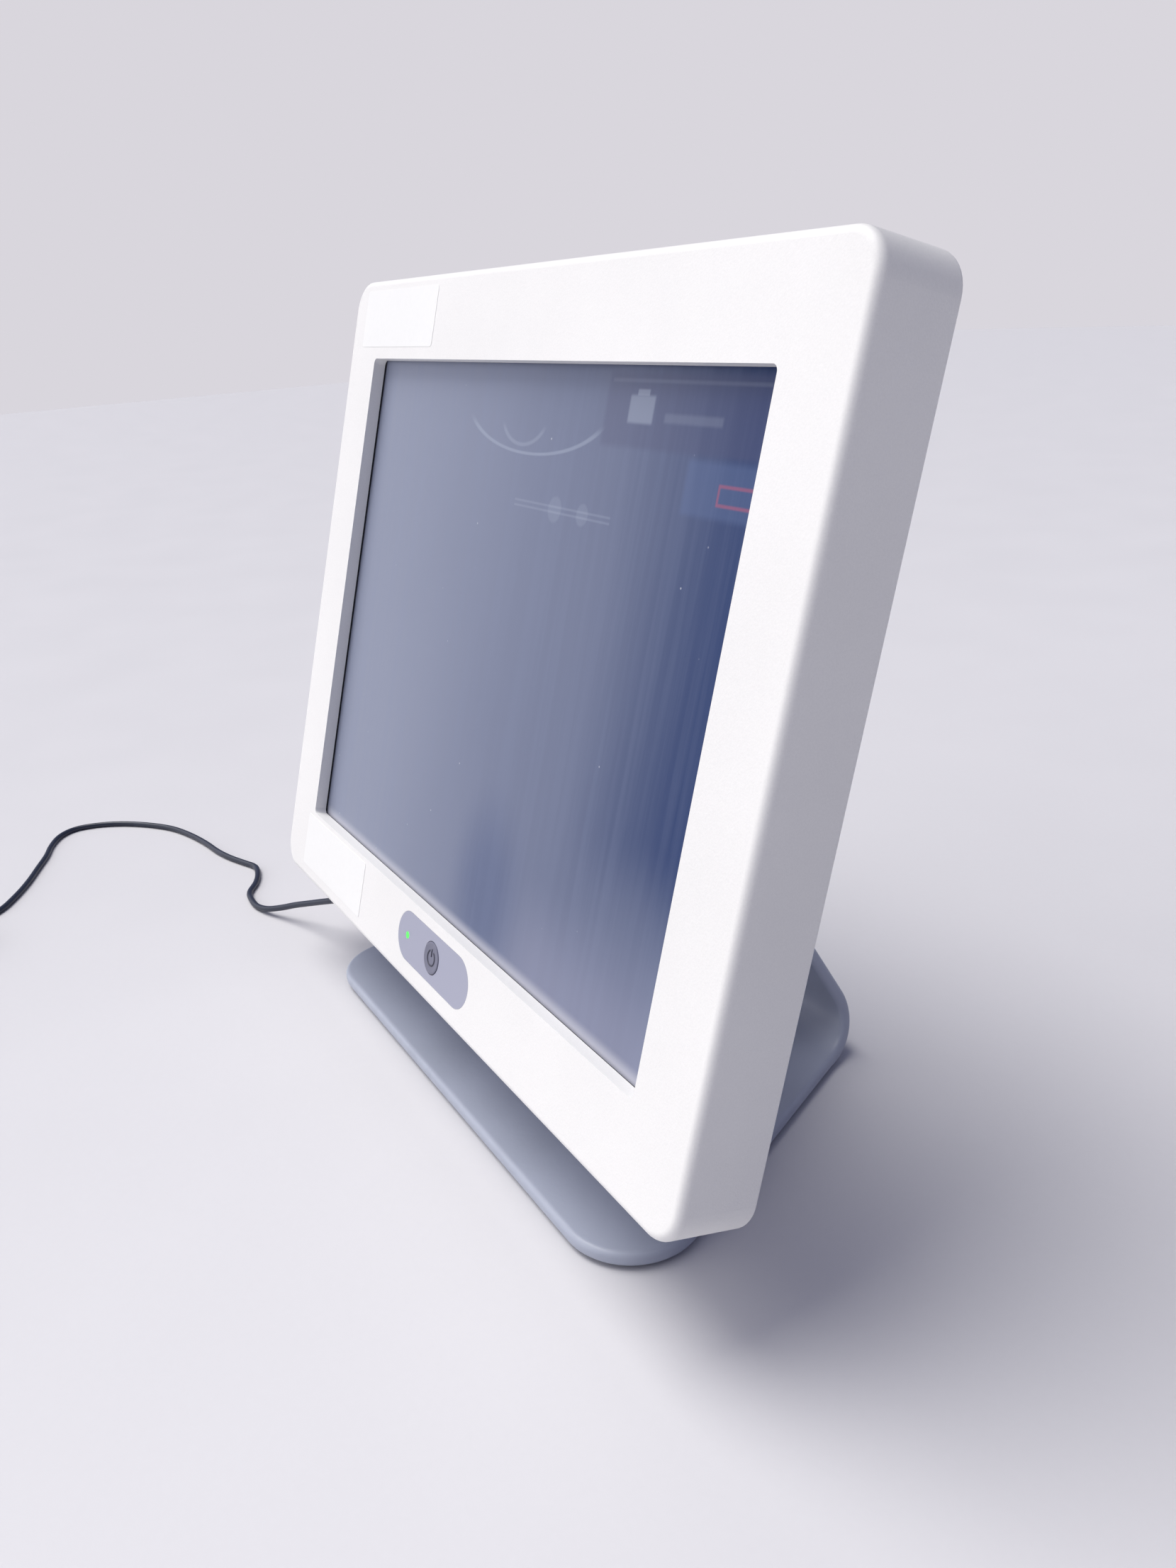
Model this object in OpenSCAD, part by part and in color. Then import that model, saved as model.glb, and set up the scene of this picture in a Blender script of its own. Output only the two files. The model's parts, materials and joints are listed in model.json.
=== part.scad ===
// Touchscreen terminal on a bent-plate desk stand.
// The screen panel tilts on a friction hinge at the top of the stand's riser.
// Everything that belongs to the panel is drawn flat, x to the right, y up the
// panel and z out of its front face, and on_panel() stands it up on the stand.

/* [Panel housing] */
// Width of the housing
panel_w = 370; // [340:1:450]
// Height of the housing along its face
panel_h = 301; // [290:1:370]
// Depth of the panel from front face to the raised middle of its back
panel_d = 34.3; // [33.5:0.1:43]
// Depth of the housing's side walls from front face to back rim
rim_d = 31.2; // [30:0.1:33]
// Radius of the housing's corners seen from the front
corner_r = 14; // [8:0.5:20]
// Rounding of the front edge
front_edge_r = 3; // [3:0.1:5]
// Rounding of the back rim
back_edge_r = 1.5; // [0.5:0.1:3]
// Thickness of the front wall
front_wall = 5.7; // [4:0.1:7]
// Thickness of the side walls
side_wall = 4; // [3:0.1:6]

/* [Screen] */
// Width of the picture area
view_w = 304.2; // [280:0.1:310]
// Height of the picture area
view_h = 228.2; // [200:0.1:235]
// Corner radius of the window
view_r = 2.5; // [1:0.1:6]
// Thickness of the foam gasket
gasket_t = 1; // [0.5:0.1:2]
// Thickness of the touch glass
glass_t = 3; // [2:0.1:4]
// Thickness of the display module
lcd_t = 11; // [9:0.1:12]

/* [Keypad] */
// Width of the oval overlay
overlay_w = 70; // [60:1:80]
// Height of the oval overlay
overlay_h = 22; // [20:0.5:26]
// Height of the overlay's centre above the housing's lower edge
overlay_up = 20.5; // [18:0.1:24]
// Diameter of the power button's cap
button_d = 13.8; // [10:0.1:15]
// Travel of the power button
button_travel = 0.45; // [0.2:0.05:0.5]
// Diameter of the status light
light_d = 3; // [2:0.1:4]
// Distance from the button to the status light
light_gap = 25.4; // [20:0.1:26]

/* [Stand] */
// Angle by which the panel leans back
tilt = 15; // [5:1:25]
// Height of the housing's lower front edge above the table
panel_lift = 49.5; // [44:0.5:70]
// Width of the foot where its sides would meet the front edge
foot_w = 312; // [260:1:380]
// Depth of the foot from its front edge to the back of the bend
foot_depth = 171.5; // [160:0.5:210]
// Distance of the foot's front edge behind the housing's lower front edge
foot_setback = 3.5; // [0:0.5:20]
// Thickness of the foot plate
foot_t = 6; // [4:0.1:8]
// Radius of the foot's front corners
foot_corner_r = 27.5; // [15:0.5:40]
// How much each side narrows for each millimetre of depth
foot_taper = 0.5; // [0.3:0.01:0.55]
// Outer radius of the rear bend
bend_r = 19; // [15:0.5:25]
// Width of the riser at its top
riser_top_w = 90; // [80:1:120]
// Thickness of the rubber pads
pad_t = 1.5; // [1:0.1:3]
// Diameter of the rubber pads
pad_d = 16; // [10:0.5:20]

/* [Hinge] */
// Diameter of the hinge pin
pin_d = 8; // [6:0.5:10]
// Distance of the pin behind the raised middle of the back
pin_behind = 20.9; // [18:0.1:26]
// Distance of the pin from the riser's front face
pin_off_riser = 11.5; // [11:0.1:15]
// Width of the hinge block
hinge_block_w = 45.6; // [36:0.1:60]
// Thickness of each ear of the tilt bracket
ear_t = 4; // [3:0.1:6]
// Side of the square screw pattern on the back
pattern = 100; // [75:25:100]
// Side of the square bracket plate
bracket_w = 120; // [116:1:140]

/* [Cord] */
// Diameter of the cord
cord_d = 3.5; // [3:0.1:4]
// Diameter of the cord's plug
plug_d = 7.6; // [7:0.1:7.8]
// Distance of the cord's plug from the housing's left side
plug_inset = 35; // [30:0.5:45]

/* [Hidden] */
$fn = 64;
eps = 0.01;

// Clearances
running_gap = 0.05;    // radial, a pin in a bore that turns on it
screw_gap = 0.05;      // radial, a screw in its threaded hole
pass_gap = 0.3;        // radial, a screw through a clearance hole
part_gap = 0.3;        // between neighbouring parts that only fit together
slip_gap = 0.1;        // between the hinge's flat faces

// Depths inside the housing, measured back from the front face
gasket_z = -front_wall;
glass_z = gasket_z - gasket_t;
tape_t = 0.5;
tape_z = glass_z - glass_t;
lcd_z = tape_z - tape_t;
lcd_back = lcd_z - lcd_t;
bracket_t = 1.5;
bracket_front = lcd_back + bracket_t - part_gap;
chassis_t = 1.2;
chassis_front = bracket_front - bracket_t;
chassis_back = chassis_front - chassis_t;
standoff_h = 3;
board_t = 1.6;
board_front = chassis_back - standoff_h;
board_back = board_front - board_t;
cover_t = 3;
cover_inset = 0.5;
cover_out = -panel_d;
cover_in = cover_out + cover_t;
flange_out = -rim_d + cover_inset;
flange_in = flange_out + cover_t;

// Plan sizes inside the housing
inner_w = panel_w - 2 * side_wall;
inner_h = panel_h - 2 * side_wall;
inner_r = corner_r - side_wall;
glass_w = view_w + 17.8;
glass_h = view_h + 9;
lcd_w = view_w + 22.3;
lcd_h = view_h + 25.3;
lcd_wall = 1;

// Screw bosses of the rear cover
boss_d = 9;
boss_x = inner_w / 2 - boss_d;
boss_y = inner_h / 2 - boss_d + 1.5;
boss_mid_x = 70;
cover_screw_d = 3;
raised_x = boss_x - boss_d / 2 - 1.5;
raised_y = boss_y - boss_d / 2 - 1.5;
raised_r = 8;
boss_places = [for (x = [-boss_x, -boss_mid_x, boss_mid_x, boss_x]) for (y = [-boss_y, boss_y]) [x, y]];

// Display brackets and chassis screws
rail_x0 = lcd_w / 2 + 0.1;
rail_x1 = inner_w / 2 - 3;
rail_h = 230;
chassis_boss_d = 8;
chassis_x = boss_x;
chassis_y = 90;
chassis_places = [for (x = [-chassis_x, chassis_x]) for (y = [-chassis_y, chassis_y]) [x, y]];
chassis_w = 2 * rail_x1 - 4;
chassis_h = 210;

// Threaded posts behind the bracket
post_d = 9;
bracket_screw_d = 4;
bracket_screw_l = 12;
bracket_plate_t = 2.5;
bracket_out = cover_out - bracket_plate_t;
pattern_places = [for (x = [-pattern / 2, pattern / 2]) for (y = [-pattern / 2, pattern / 2]) [x, y]];

// Boards
board_x1 = -pattern / 2 - 8;
plug_x = -panel_w / 2 + plug_inset;
board_x0 = plug_x;
board_y0 = -96;
board_y1 = 73;
board_edge = 5;
inverter_x0 = pattern / 2 + 12;
inverter_x1 = inverter_x0 + 40;
inverter_y = 70;
board_places = concat(
    [for (x = [board_x0 + board_edge, board_x1 - board_edge])
        for (y = [board_y0 + board_edge, board_y1 - board_edge]) [x, y]],
    [for (x = [inverter_x0 + board_edge, inverter_x1 - board_edge])
        for (y = [-inverter_y + board_edge, inverter_y - board_edge]) [x, y]]);
board_screw_d = 2.5;
standoff_d = 6;

// Connector bay at the lower left of the back
bay_floor_t = 2;
bay_out = lcd_back - bay_floor_t - part_gap;
bay_x0 = plug_x - 10;
bay_x1 = plug_x + 38;
bay_roof = board_y0 - 14;
bay_wall = 2;
bay_y0 = -panel_h / 2;
socket_d = plug_d * 0.75;
plug_z = bay_out - part_gap - plug_d / 2;
socket_l = 14;
data_x = plug_x + 21.5;

// Keypad
key_x = 1;
key_y = -panel_h / 2 + overlay_up;
overlay_t = 0.4;
cap_proud = 0.35;
flange_d = button_d + 3.2;
flange_t = 1;
nub_l = 0.45;
cap_back = gasket_z - part_gap;
flange_back = cap_back - flange_t;
nub_back = flange_back - nub_l;
switch_front = nub_back - button_travel - part_gap;
switch_t = 1.4;
key_board_z = switch_front - switch_t;
key_board_w = 66;
key_board_y0 = key_y - 11;
key_board_y1 = key_y + 2.8;
key_screw_x = 29;
key_screw_y = key_y - 6;
light_x = key_x - light_gap;

// Panel pose: the lower front edge stands panel_lift above the table
lift = panel_lift - pad_t;
front_reach = front_edge_r * (sin(tilt) + cos(tilt) - 1);
model_front = min(front_reach, foot_setback);
foot_rear = foot_setback + foot_depth;
panel_rear = panel_h * sin(tilt) + panel_d * cos(tilt);
model_rear = max(foot_rear, panel_rear);
y_shift = -(model_front + model_rear) / 2;

// Hinge axis, measured from the lower front edge and from the foot's underside
pin_y = panel_h / 2 * sin(tilt) + (panel_d + pin_behind) * cos(tilt);
pin_z = lift + panel_h / 2 * cos(tilt) - (panel_d + pin_behind) * sin(tilt);

// The bent plate's side view: flat base, rear bend, then a straight riser
bend_y = foot_rear - bend_r;
bend_in = bend_r - foot_t;
reach_y = pin_y - bend_y;
reach_z = pin_z - bend_r;
reach = norm([reach_y, reach_z]);
sweep = atan2(reach_z, reach_y) - asin((pin_off_riser - bend_in) / reach);
riser_dir = [cos(sweep), sin(sweep)];
riser_in = [-sin(sweep), cos(sweep)];
pin_u = reach_y * riser_dir[0] + reach_z * riser_dir[1];
riser_l = pin_u + 12;
riser_start = [bend_y, bend_r] - bend_r * riser_in;
riser_corner_r = 12;

// Half widths along the bent plate
side_angle = atan(foot_taper);
corner_y = foot_setback + foot_corner_r;
corner_x = foot_w / 2 - foot_corner_r * (1 + sin(side_angle)) / cos(side_angle);
bend_half_w = foot_w / 2 - foot_taper * foot_depth + foot_taper * bend_r;
bend_arc = (bend_r - foot_t / 2) * sweep * PI / 180;
riser_taper = 0.8 * foot_taper;
riser_half_w = bend_half_w - riser_taper * bend_arc;
ease_l = 75;

// Pads
pad_front_x = foot_w / 2 - 34;
pad_rear_x = bend_half_w - 16;
pad_places = [for (s = [-1, 1]) [s * pad_front_x, foot_setback + 20],
    for (s = [-1, 1]) [s * pad_rear_x, bend_y - 12]];

// Hinge stack along x
block_half = hinge_block_w / 2;
washer_t = 1;
ear_in = block_half + washer_t + 2 * slip_gap;
ear_out = ear_in + ear_t;
washer_d = pin_d + 8;
cap_in = ear_out + washer_t + 2 * slip_gap;
head_t = 4;
nut_t = 6;
barrel_r = pin_d / 2 + 4.5;
block_screw_x = 14;
block_screw_u = [-17, 3];
block_screw_d = 4;

// Cord: route on the table, x to the right and y to the back
table_z = cord_d / 2;
relief_l = 20;
plug_l = 20;
plug_top = bay_roof - bay_wall - 0.2;
relief_top = plug_top - plug_l;
relief_end = relief_top - relief_l;
cord_gap = 0.3;
cord_sides = 8;
drop_points = [[-157, -65, 29], [-167, -68.5, 25], [-179, -72.5, 20.5], [-191, -77, 16],
    [-203, -82, 11.5], [-214, -87.5, 7], [-225, -93, 3.4], [-236, -96, table_z]];
table_points = [[-236, -96], [-247, -96], [-257, -94], [-268, -87], [-280, -82], [-292, -80],
    [-303, -84], [-316, -89], [-331, -93], [-350, -96], [-371, -101], [-392, -109],
    [-410, -122], [-424, -137], [-432, -152], [-434, -166], [-427, -177], [-413, -185],
    [-396, -191], [-378, -199], [-358, -208], [-340, -218], [-326, -228], [-318, -240],
    [-316, -254], [-317.2, -270]];
coil_at = [-293, -270];
coil_mid_r = 6 * cord_d;
coil_wide = 3;
coil_high = 4;
coil_in = coil_mid_r - coil_wide * cord_d / 2;
coil_out = coil_mid_r + coil_wide * cord_d / 2;
supply_d = 11;
supply_l = 36;
supply_at = [-272, -300];
tail_points = [[-303, -293, table_z], [-299.5, -296.6, table_z], [-295.5, -298.3, table_z], [-288, -298.9, 1.9],
    [-280, -299.6, 3.3], [-274, -300, 5.1], [-271.8, -300, supply_d / 2]];

// ---------- shared shapes ----------

// Places children, drawn flat on the panel, at the panel's leaning pose
module on_panel() {
    translate([0, y_shift + panel_h / 2 * sin(tilt), panel_lift + panel_h / 2 * cos(tilt)])
        rotate([90 - tilt, 0, 0])
            children();
}

// Places children drawn in the foot's own frame, z = 0 at its underside
module on_foot() {
    translate([0, y_shift, pad_t])
        children();
}

// Places children on the riser: x across, y up the riser, z out of its front face
module on_riser() {
    on_foot()
        translate([0, riser_start[0] + foot_t * riser_in[0], riser_start[1] + foot_t * riser_in[1]])
            rotate([sweep, 0, 0])
                children();
}

// Rectangle with true round corners
module round_rect(w, h, r) {
    union() {
        square([w - 2 * r, h], center = true);
        square([w, h - 2 * r], center = true);
        for (x = [-1, 1])
            for (y = [-1, 1])
                translate([x * (w / 2 - r), y * (h / 2 - r)])
                    circle(r);
    }
}

// Rounded slab from depth z0 up to z1
module slab(w, h, r, z0, z1) {
    translate([0, 0, z0])
        linear_extrude(z1 - z0)
            round_rect(w, h, r);
}

// Box given by its low and high corners
module box(low, high) {
    translate(low)
        cube(high - low);
}

// Upright cylinder at a place, from z0 up to z1
module post(at, d, z0, z1) {
    translate([at[0], at[1], z0])
        cylinder(d = d, h = z1 - z0);
}

// Screw with a round head: the head starts at z and points to -z, the shank to +z
module screw(at, z, d, l) {
    head_d = 2 * d;
    head_h = 0.6 * d;
    difference() {
        union() {
            post(at, head_d, z - head_h, z);
            post(at, d, z - eps, z + l);
        }
        translate([at[0], at[1], z - head_h - eps])
            cylinder(d = 0.55 * head_d, h = 0.5 * head_h, $fn = 6);
    }
}

// Half of the housing's edge profile, from the axis to the outer wall
module edge_profile(w) {
    union() {
        square([w - max(front_edge_r, back_edge_r), rim_d]);
        translate([0, back_edge_r])
            square([w, rim_d - front_edge_r - back_edge_r]);
        square([w - back_edge_r, rim_d / 2]);
        translate([w - back_edge_r, back_edge_r])
            circle(back_edge_r);
        translate([w - front_edge_r, rim_d - front_edge_r])
            circle(front_edge_r);
    }
}

// Solid block of the housing with all its outer rounding, front face at z = 0
module housing_block() {
    corner = [panel_w / 2 - corner_r, panel_h / 2 - corner_r];
    translate([0, 0, -rim_d])
        union() {
            for (x = [-1, 1])
                for (y = [-1, 1])
                    translate([x * corner[0], y * corner[1], 0])
                        rotate_extrude()
                            intersection() {
                                edge_profile(corner_r);
                                square([corner_r, rim_d]);
                            }
            for (s = [0, 180])
                rotate([90, 0, s])
                    translate([0, 0, -corner[1]])
                        linear_extrude(2 * corner[1])
                            edge_profile(panel_w / 2);
            for (s = [90, 270])
                rotate([90, 0, s])
                    translate([0, 0, -corner[0]])
                        linear_extrude(2 * corner[0])
                            edge_profile(panel_h / 2);
        }
}

// Tube through points: a ring of corners at each point, square to the path
function unit(v) = v / norm(v);
function along(p, i) = unit(p[min(i + 1, len(p) - 1)] - p[max(i - 1, 0)]);
function side(t) = abs(t[2]) > 0.9 ? unit(cross(t, [0, 1, 0])) : unit(cross(t, [0, 0, 1]));
function ring(p, i, r, n) =
    let (t = along(p, i), a = side(t), b = cross(a, t))
        [for (k = [0 : n - 1]) p[i] + r * (cos(360 * k / n) * a + sin(360 * k / n) * b)];
module tube(p, d, n) {
    rings = len(p);
    verts = [for (i = [0 : rings - 1]) each ring(p, i, d / 2, n)];
    walls = [for (i = [0 : rings - 2]) for (k = [0 : n - 1])
        [i * n + k, i * n + (k + 1) % n, (i + 1) * n + (k + 1) % n, (i + 1) * n + k]];
    ends = [[for (k = [n - 1 : -1 : 0]) k], [for (k = [0 : n - 1]) (rings - 1) * n + k]];
    polyhedron(verts, concat(walls, ends));
}

// Smooth curve through points, with steps extra points to each stretch
function bow(a, b, c, d, t) =
    0.5 * (2 * b + (c - a) * t + (2 * a - 5 * b + 4 * c - d) * t * t
        + (3 * b - a - 3 * c + d) * t * t * t);
function smooth(p, steps) =
    concat([for (i = [0 : len(p) - 2]) for (s = [0 : steps - 1])
        bow(p[max(i - 1, 0)], p[i], p[i + 1], p[min(i + 2, len(p) - 1)], s / steps)],
        [p[len(p) - 1]]);

// ---------- stand ----------

// Stations along the bent plate: [outer y, outer z, inner y, inner z, half width]
function base_station(y, w) = [y, 0, y, foot_t, w];
function bend_station(a) =
    let (r = bend_in, w = bend_half_w - riser_taper * (bend_r - foot_t / 2) * a * PI / 180)
        [bend_y + bend_r * sin(a), bend_r - bend_r * cos(a),
            bend_y + r * sin(a), bend_r - r * cos(a), w];
function riser_point(u, v) = riser_start + u * riser_dir + v * riser_in;
function riser_ease(u) =
    let (t = min(u / ease_l, 1), top = riser_top_w / 2)
        (2 * t * t * t - 3 * t * t + 1) * riser_half_w
        + (t * t * t - 2 * t * t + t) * ease_l * -riser_taper
        + (3 * t * t - 2 * t * t * t) * top;
function riser_station(u, w) =
    let (o = riser_point(u, 0), i = riser_point(u, foot_t)) [o[0], o[1], i[0], i[1], w];
foot_stations = concat(
    [for (k = [0 : 12]) let (a = -90 + k * (90 + side_angle) / 12)
        base_station(corner_y + foot_corner_r * sin(a), corner_x + foot_corner_r * cos(a))],
    [base_station(bend_y, bend_half_w)],
    [for (k = [1 : 20]) bend_station(k * sweep / 20)],
    [for (k = [1 : 10]) riser_station(k * ease_l / 10, riser_ease(k * ease_l / 10))],
    [for (k = [0 : 8]) let (a = k * 90 / 8)
        riser_station(riser_l - riser_corner_r * (1 - sin(a)),
            riser_top_w / 2 - riser_corner_r * (1 - cos(a)))]);

module bent_plate() {
    n = len(foot_stations);
    verts = [for (s = foot_stations)
        each [[-s[4], s[0], s[1]], [s[4], s[0], s[1]], [s[4], s[2], s[3]], [-s[4], s[2], s[3]]]];
    walls = [for (i = [0 : n - 2]) for (k = [0 : 3])
        [4 * i + k, 4 * i + (k + 1) % 4, 4 * (i + 1) + (k + 1) % 4, 4 * (i + 1) + k]];
    ends = [[3, 2, 1, 0], [for (k = [0 : 3]) 4 * (n - 1) + k]];
    polyhedron(verts, concat(walls, ends));
}

module foot_plate() {
    color([0.55, 0.58, 0.64])
        difference() {
            on_foot()
                bent_plate();
            on_riser()
                for (x = [-block_screw_x, block_screw_x])
                    for (u = block_screw_u)
                        post([x, pin_u + u], block_screw_d + 2 * pass_gap, -foot_t - 1, 1);
        }
}

module foot_pads() {
    color([0.08, 0.08, 0.09])
        on_foot()
            for (p = pad_places)
                post(p, pad_d, -pad_t, 0);
}

module hinge_block() {
    color([0.25, 0.27, 0.3])
        on_riser()
            difference() {
                union() {
                    box([-block_half, pin_u - 24, 0], [block_half, pin_u + 9, 4]);
                    box([-block_half, pin_u - barrel_r, 0], [block_half, pin_u + barrel_r, pin_off_riser]);
                    translate([-block_half, pin_u, pin_off_riser])
                        rotate([0, 90, 0])
                            cylinder(r = barrel_r, h = hinge_block_w);
                }
                translate([-block_half - 1, pin_u, pin_off_riser])
                    rotate([0, 90, 0])
                        cylinder(d = pin_d + 2 * running_gap, h = hinge_block_w + 2);
                for (x = [-block_screw_x, block_screw_x])
                    for (u = block_screw_u)
                        post([x, pin_u + u], block_screw_d + 2 * screw_gap, -1,
                            u < -barrel_r ? 5 : pin_off_riser - pin_d / 2 - 1.2);
            }
}

module hinge_block_screws() {
    color([0.6, 0.6, 0.62])
        on_riser()
            for (x = [-block_screw_x, block_screw_x])
                for (u = block_screw_u)
                    screw([x, pin_u + u], -foot_t, block_screw_d, foot_t + 3.6);
}

// Places children along the hinge axis: z runs to the right
module on_pin() {
    on_riser()
        translate([0, pin_u, pin_off_riser])
            rotate([0, 90, 0])
                children();
}

module hinge_pin() {
    color([0.7, 0.7, 0.72])
        on_pin()
            union() {
                translate([0, 0, -cap_in])
                    cylinder(d = pin_d, h = 2 * cap_in + nut_t + 1);
                translate([0, 0, -cap_in - head_t])
                    cylinder(d = pin_d + 5, h = head_t);
            }
}

module hinge_nut() {
    color([0.7, 0.7, 0.72])
        on_pin()
            difference() {
                translate([0, 0, cap_in])
                    cylinder(d = pin_d + 7, h = nut_t, $fn = 6);
                translate([0, 0, cap_in - 1])
                    cylinder(d = pin_d + 2 * running_gap, h = nut_t + 2);
            }
}

module friction_washers() {
    color([0.75, 0.65, 0.4])
        on_pin()
            for (z = [-ear_out - slip_gap - washer_t, -block_half - slip_gap - washer_t,
                block_half + slip_gap, ear_out + slip_gap])
                difference() {
                    translate([0, 0, z])
                        cylinder(d = washer_d, h = washer_t);
                    translate([0, 0, z - 1])
                        cylinder(d = pin_d + 2 * running_gap, h = washer_t + 2);
                }
}

// ---------- panel: back and mounting ----------

module tilt_bracket() {
    ear_r = barrel_r;
    pin_at = -panel_d - pin_behind;
    color([0.3, 0.31, 0.33])
        on_panel()
            difference() {
                union() {
                    slab(bracket_w, bracket_w, 6, bracket_out, cover_out);
                    for (s = [-1, 1])
                        translate([s > 0 ? ear_in : -ear_out, 0, 0]) {
                            box([0, -ear_r, pin_at], [ear_t, ear_r, bracket_out + eps]);
                            translate([0, 0, pin_at])
                                rotate([0, 90, 0])
                                    cylinder(r = ear_r, h = ear_t);
                        }
                }
                translate([-ear_out - 1, 0, pin_at])
                    rotate([0, 90, 0])
                        cylinder(d = pin_d + 2 * running_gap, h = 2 * ear_out + 2);
                for (p = pattern_places)
                    post(p, bracket_screw_d + 2 * pass_gap, bracket_out - 1, cover_out + 1);
            }
}

module tilt_bracket_screws() {
    color([0.6, 0.6, 0.62])
        on_panel()
            for (p = pattern_places)
                screw(p, bracket_out, bracket_screw_d, bracket_screw_l);
}

// ---------- panel: housing ----------

module front_housing() {
    color([0.93, 0.93, 0.94])
        on_panel()
            difference() {
                union() {
                    difference() {
                        housing_block();
                        slab(inner_w, inner_h, inner_r, -rim_d - 1, gasket_z);
                    }
                    for (p = boss_places)
                        post(p, boss_d, flange_in, gasket_z + eps);
                    for (p = chassis_places)
                        post(p, chassis_boss_d, bracket_front, gasket_z + eps);
                    for (x = [-key_screw_x, key_screw_x])
                        post([key_x + x, key_screw_y], 6, key_board_z, gasket_z + eps);
                }
                slab(view_w, view_h, view_r, gasket_z - 1, 1);
                for (p = boss_places)
                    post(p, cover_screw_d + 2 * screw_gap, flange_in - 1, flange_in + 12);
                for (p = chassis_places)
                    post(p, cover_screw_d + 2 * screw_gap, bracket_front - 1, bracket_front + 8);
                for (x = [-key_screw_x, key_screw_x])
                    post([key_x + x, key_screw_y], 2 + 2 * screw_gap, key_board_z - 1, key_board_z + 5);
                translate([key_x, key_y, -overlay_t])
                    linear_extrude(overlay_t + 1)
                        round_rect(overlay_w + 0.2, overlay_h + 0.2, overlay_h / 2 + 0.1 - eps);
                post([key_x, key_y], button_d + 2 * part_gap, gasket_z - 1, 1);
                post([light_x, key_y], light_d + 0.2, gasket_z - 1, 1);
                box([bay_x0, bay_y0 - 1, -rim_d - 1], [bay_x1, bay_y0 + side_wall + 1, bay_out]);
            }
}

module rear_cover() {
    w = inner_w - 2 * part_gap;
    h = inner_h - 2 * part_gap;
    low = -inner_h / 2 + part_gap;
    color([0.88, 0.88, 0.89])
        on_panel()
            difference() {
                union() {
                    difference() {
                        union() {
                            slab(w, h, inner_r - part_gap, flange_out, flange_in);
                            slab(2 * raised_x, 2 * raised_y, raised_r, cover_out, flange_in - eps);
                        }
                        slab(2 * (raised_x - cover_t), 2 * (raised_y - cover_t), raised_r - cover_t,
                            cover_in, flange_in + 1);
                    }
                    box([bay_x0 - bay_wall, low, flange_out + eps],
                        [bay_x1 + bay_wall, bay_roof, bay_out + bay_floor_t]);
                    box([bay_x0 - bay_wall, -raised_y + eps, cover_out + eps],
                        [bay_x1 + bay_wall, bay_roof, flange_in]);
                }
                box([bay_x0, low - 1, cover_out - 1], [bay_x1, bay_roof - bay_wall, bay_out]);
                translate([plug_x, bay_roof + 1, plug_z])
                    rotate([90, 0, 0])
                        cylinder(d = socket_d + 0.9, h = bay_wall + 2);
                box([data_x - 6.6, bay_roof - bay_wall - 1, plug_z - 2.7],
                    [data_x + 6.6, bay_roof + 1, plug_z + 2.7]);
                for (p = boss_places)
                    post(p, cover_screw_d + 2 * pass_gap, flange_out - 1, flange_in + 1);
                for (p = pattern_places)
                    post(p, bracket_screw_d + 2 * pass_gap, cover_out - 1, cover_in + 1);
                for (x = [-9 : 9])
                    for (y = [0, 1])
                        translate([12 * x, 100 + 16 * y, cover_out - 1])
                            linear_extrude(cover_t + 2)
                                round_rect(3, 12, 1.49);
            }
}

module rear_cover_screws() {
    color([0.55, 0.55, 0.57])
        on_panel()
            for (p = boss_places)
                screw(p, flange_out, cover_screw_d, cover_t + 8);
}

// ---------- panel: screen ----------

// Flat frame with an opening
module frame_ring(w, h, r, open_w, open_h, z0, z1) {
    difference() {
        slab(w, h, r, z0, z1);
        slab(open_w, open_h, 1, z0 - 1, z1 + 1);
    }
}

module screen_gasket() {
    color([0.05, 0.05, 0.06])
        on_panel()
            frame_ring(glass_w - 2, glass_h - 2, 3, view_w + 1, view_h + 1, glass_z, gasket_z);
}

module touch_glass() {
    color([0.35, 0.42, 0.55])
        on_panel()
            slab(glass_w, glass_h, 3, tape_z, glass_z);
}

module glass_tape() {
    color([0.1, 0.1, 0.1])
        on_panel()
            frame_ring(glass_w - 2, glass_h - 1, 1, view_w + 4, view_h + 4, lcd_z, tape_z);
}

module lcd_frame() {
    color([0.6, 0.61, 0.63])
        on_panel()
            difference() {
                slab(lcd_w, lcd_h, 1.5, lcd_z - 8, lcd_z);
                slab(view_w + 3, view_h + 3, 0.5, lcd_z - 2, lcd_z + 1);
                slab(lcd_w - 2 * lcd_wall, lcd_h - 2 * lcd_wall, 0.8, lcd_z - 9, lcd_z - lcd_wall);
            }
}

module lcd_cell() {
    color([0.2, 0.25, 0.35])
        on_panel()
            slab(view_w + 14, view_h + 15, 0.5, lcd_z - lcd_wall - 1.3, lcd_z - lcd_wall);
}

module backlight_unit() {
    w = lcd_w - 2 * lcd_wall - 0.4;
    h = lcd_h - 2 * lcd_wall - 0.4;
    color([0.9, 0.9, 0.88])
        on_panel()
            difference() {
                slab(w, h, 0.7, lcd_back, lcd_z - lcd_wall - 1.3);
                for (y = [-80, 0, 80])
                    slab_rib(w - 30, 12, y, lcd_back);
            }
}

// Shallow groove pressed into the back of the tray
module slab_rib(w, h, y, z) {
    translate([0, y, 0])
        slab(w, h, 5.9, z - 1, z + 1.2);
}

module lcd_brackets() {
    color([0.72, 0.73, 0.75])
        on_panel()
            for (s = [0, 180])
                rotate([0, 0, s])
                    difference() {
                        union() {
                            box([rail_x0, -rail_h / 2, bracket_front - bracket_t],
                                [rail_x1, rail_h / 2, bracket_front]);
                            box([rail_x0, -rail_h / 2, bracket_front - eps],
                                [rail_x0 + bracket_t, rail_h / 2, lcd_z - 1]);
                        }
                        for (y = [-chassis_y, chassis_y])
                            post([chassis_x, y], cover_screw_d + 2 * pass_gap,
                                bracket_front - bracket_t - 1, bracket_front + 1);
                    }
}

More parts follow.
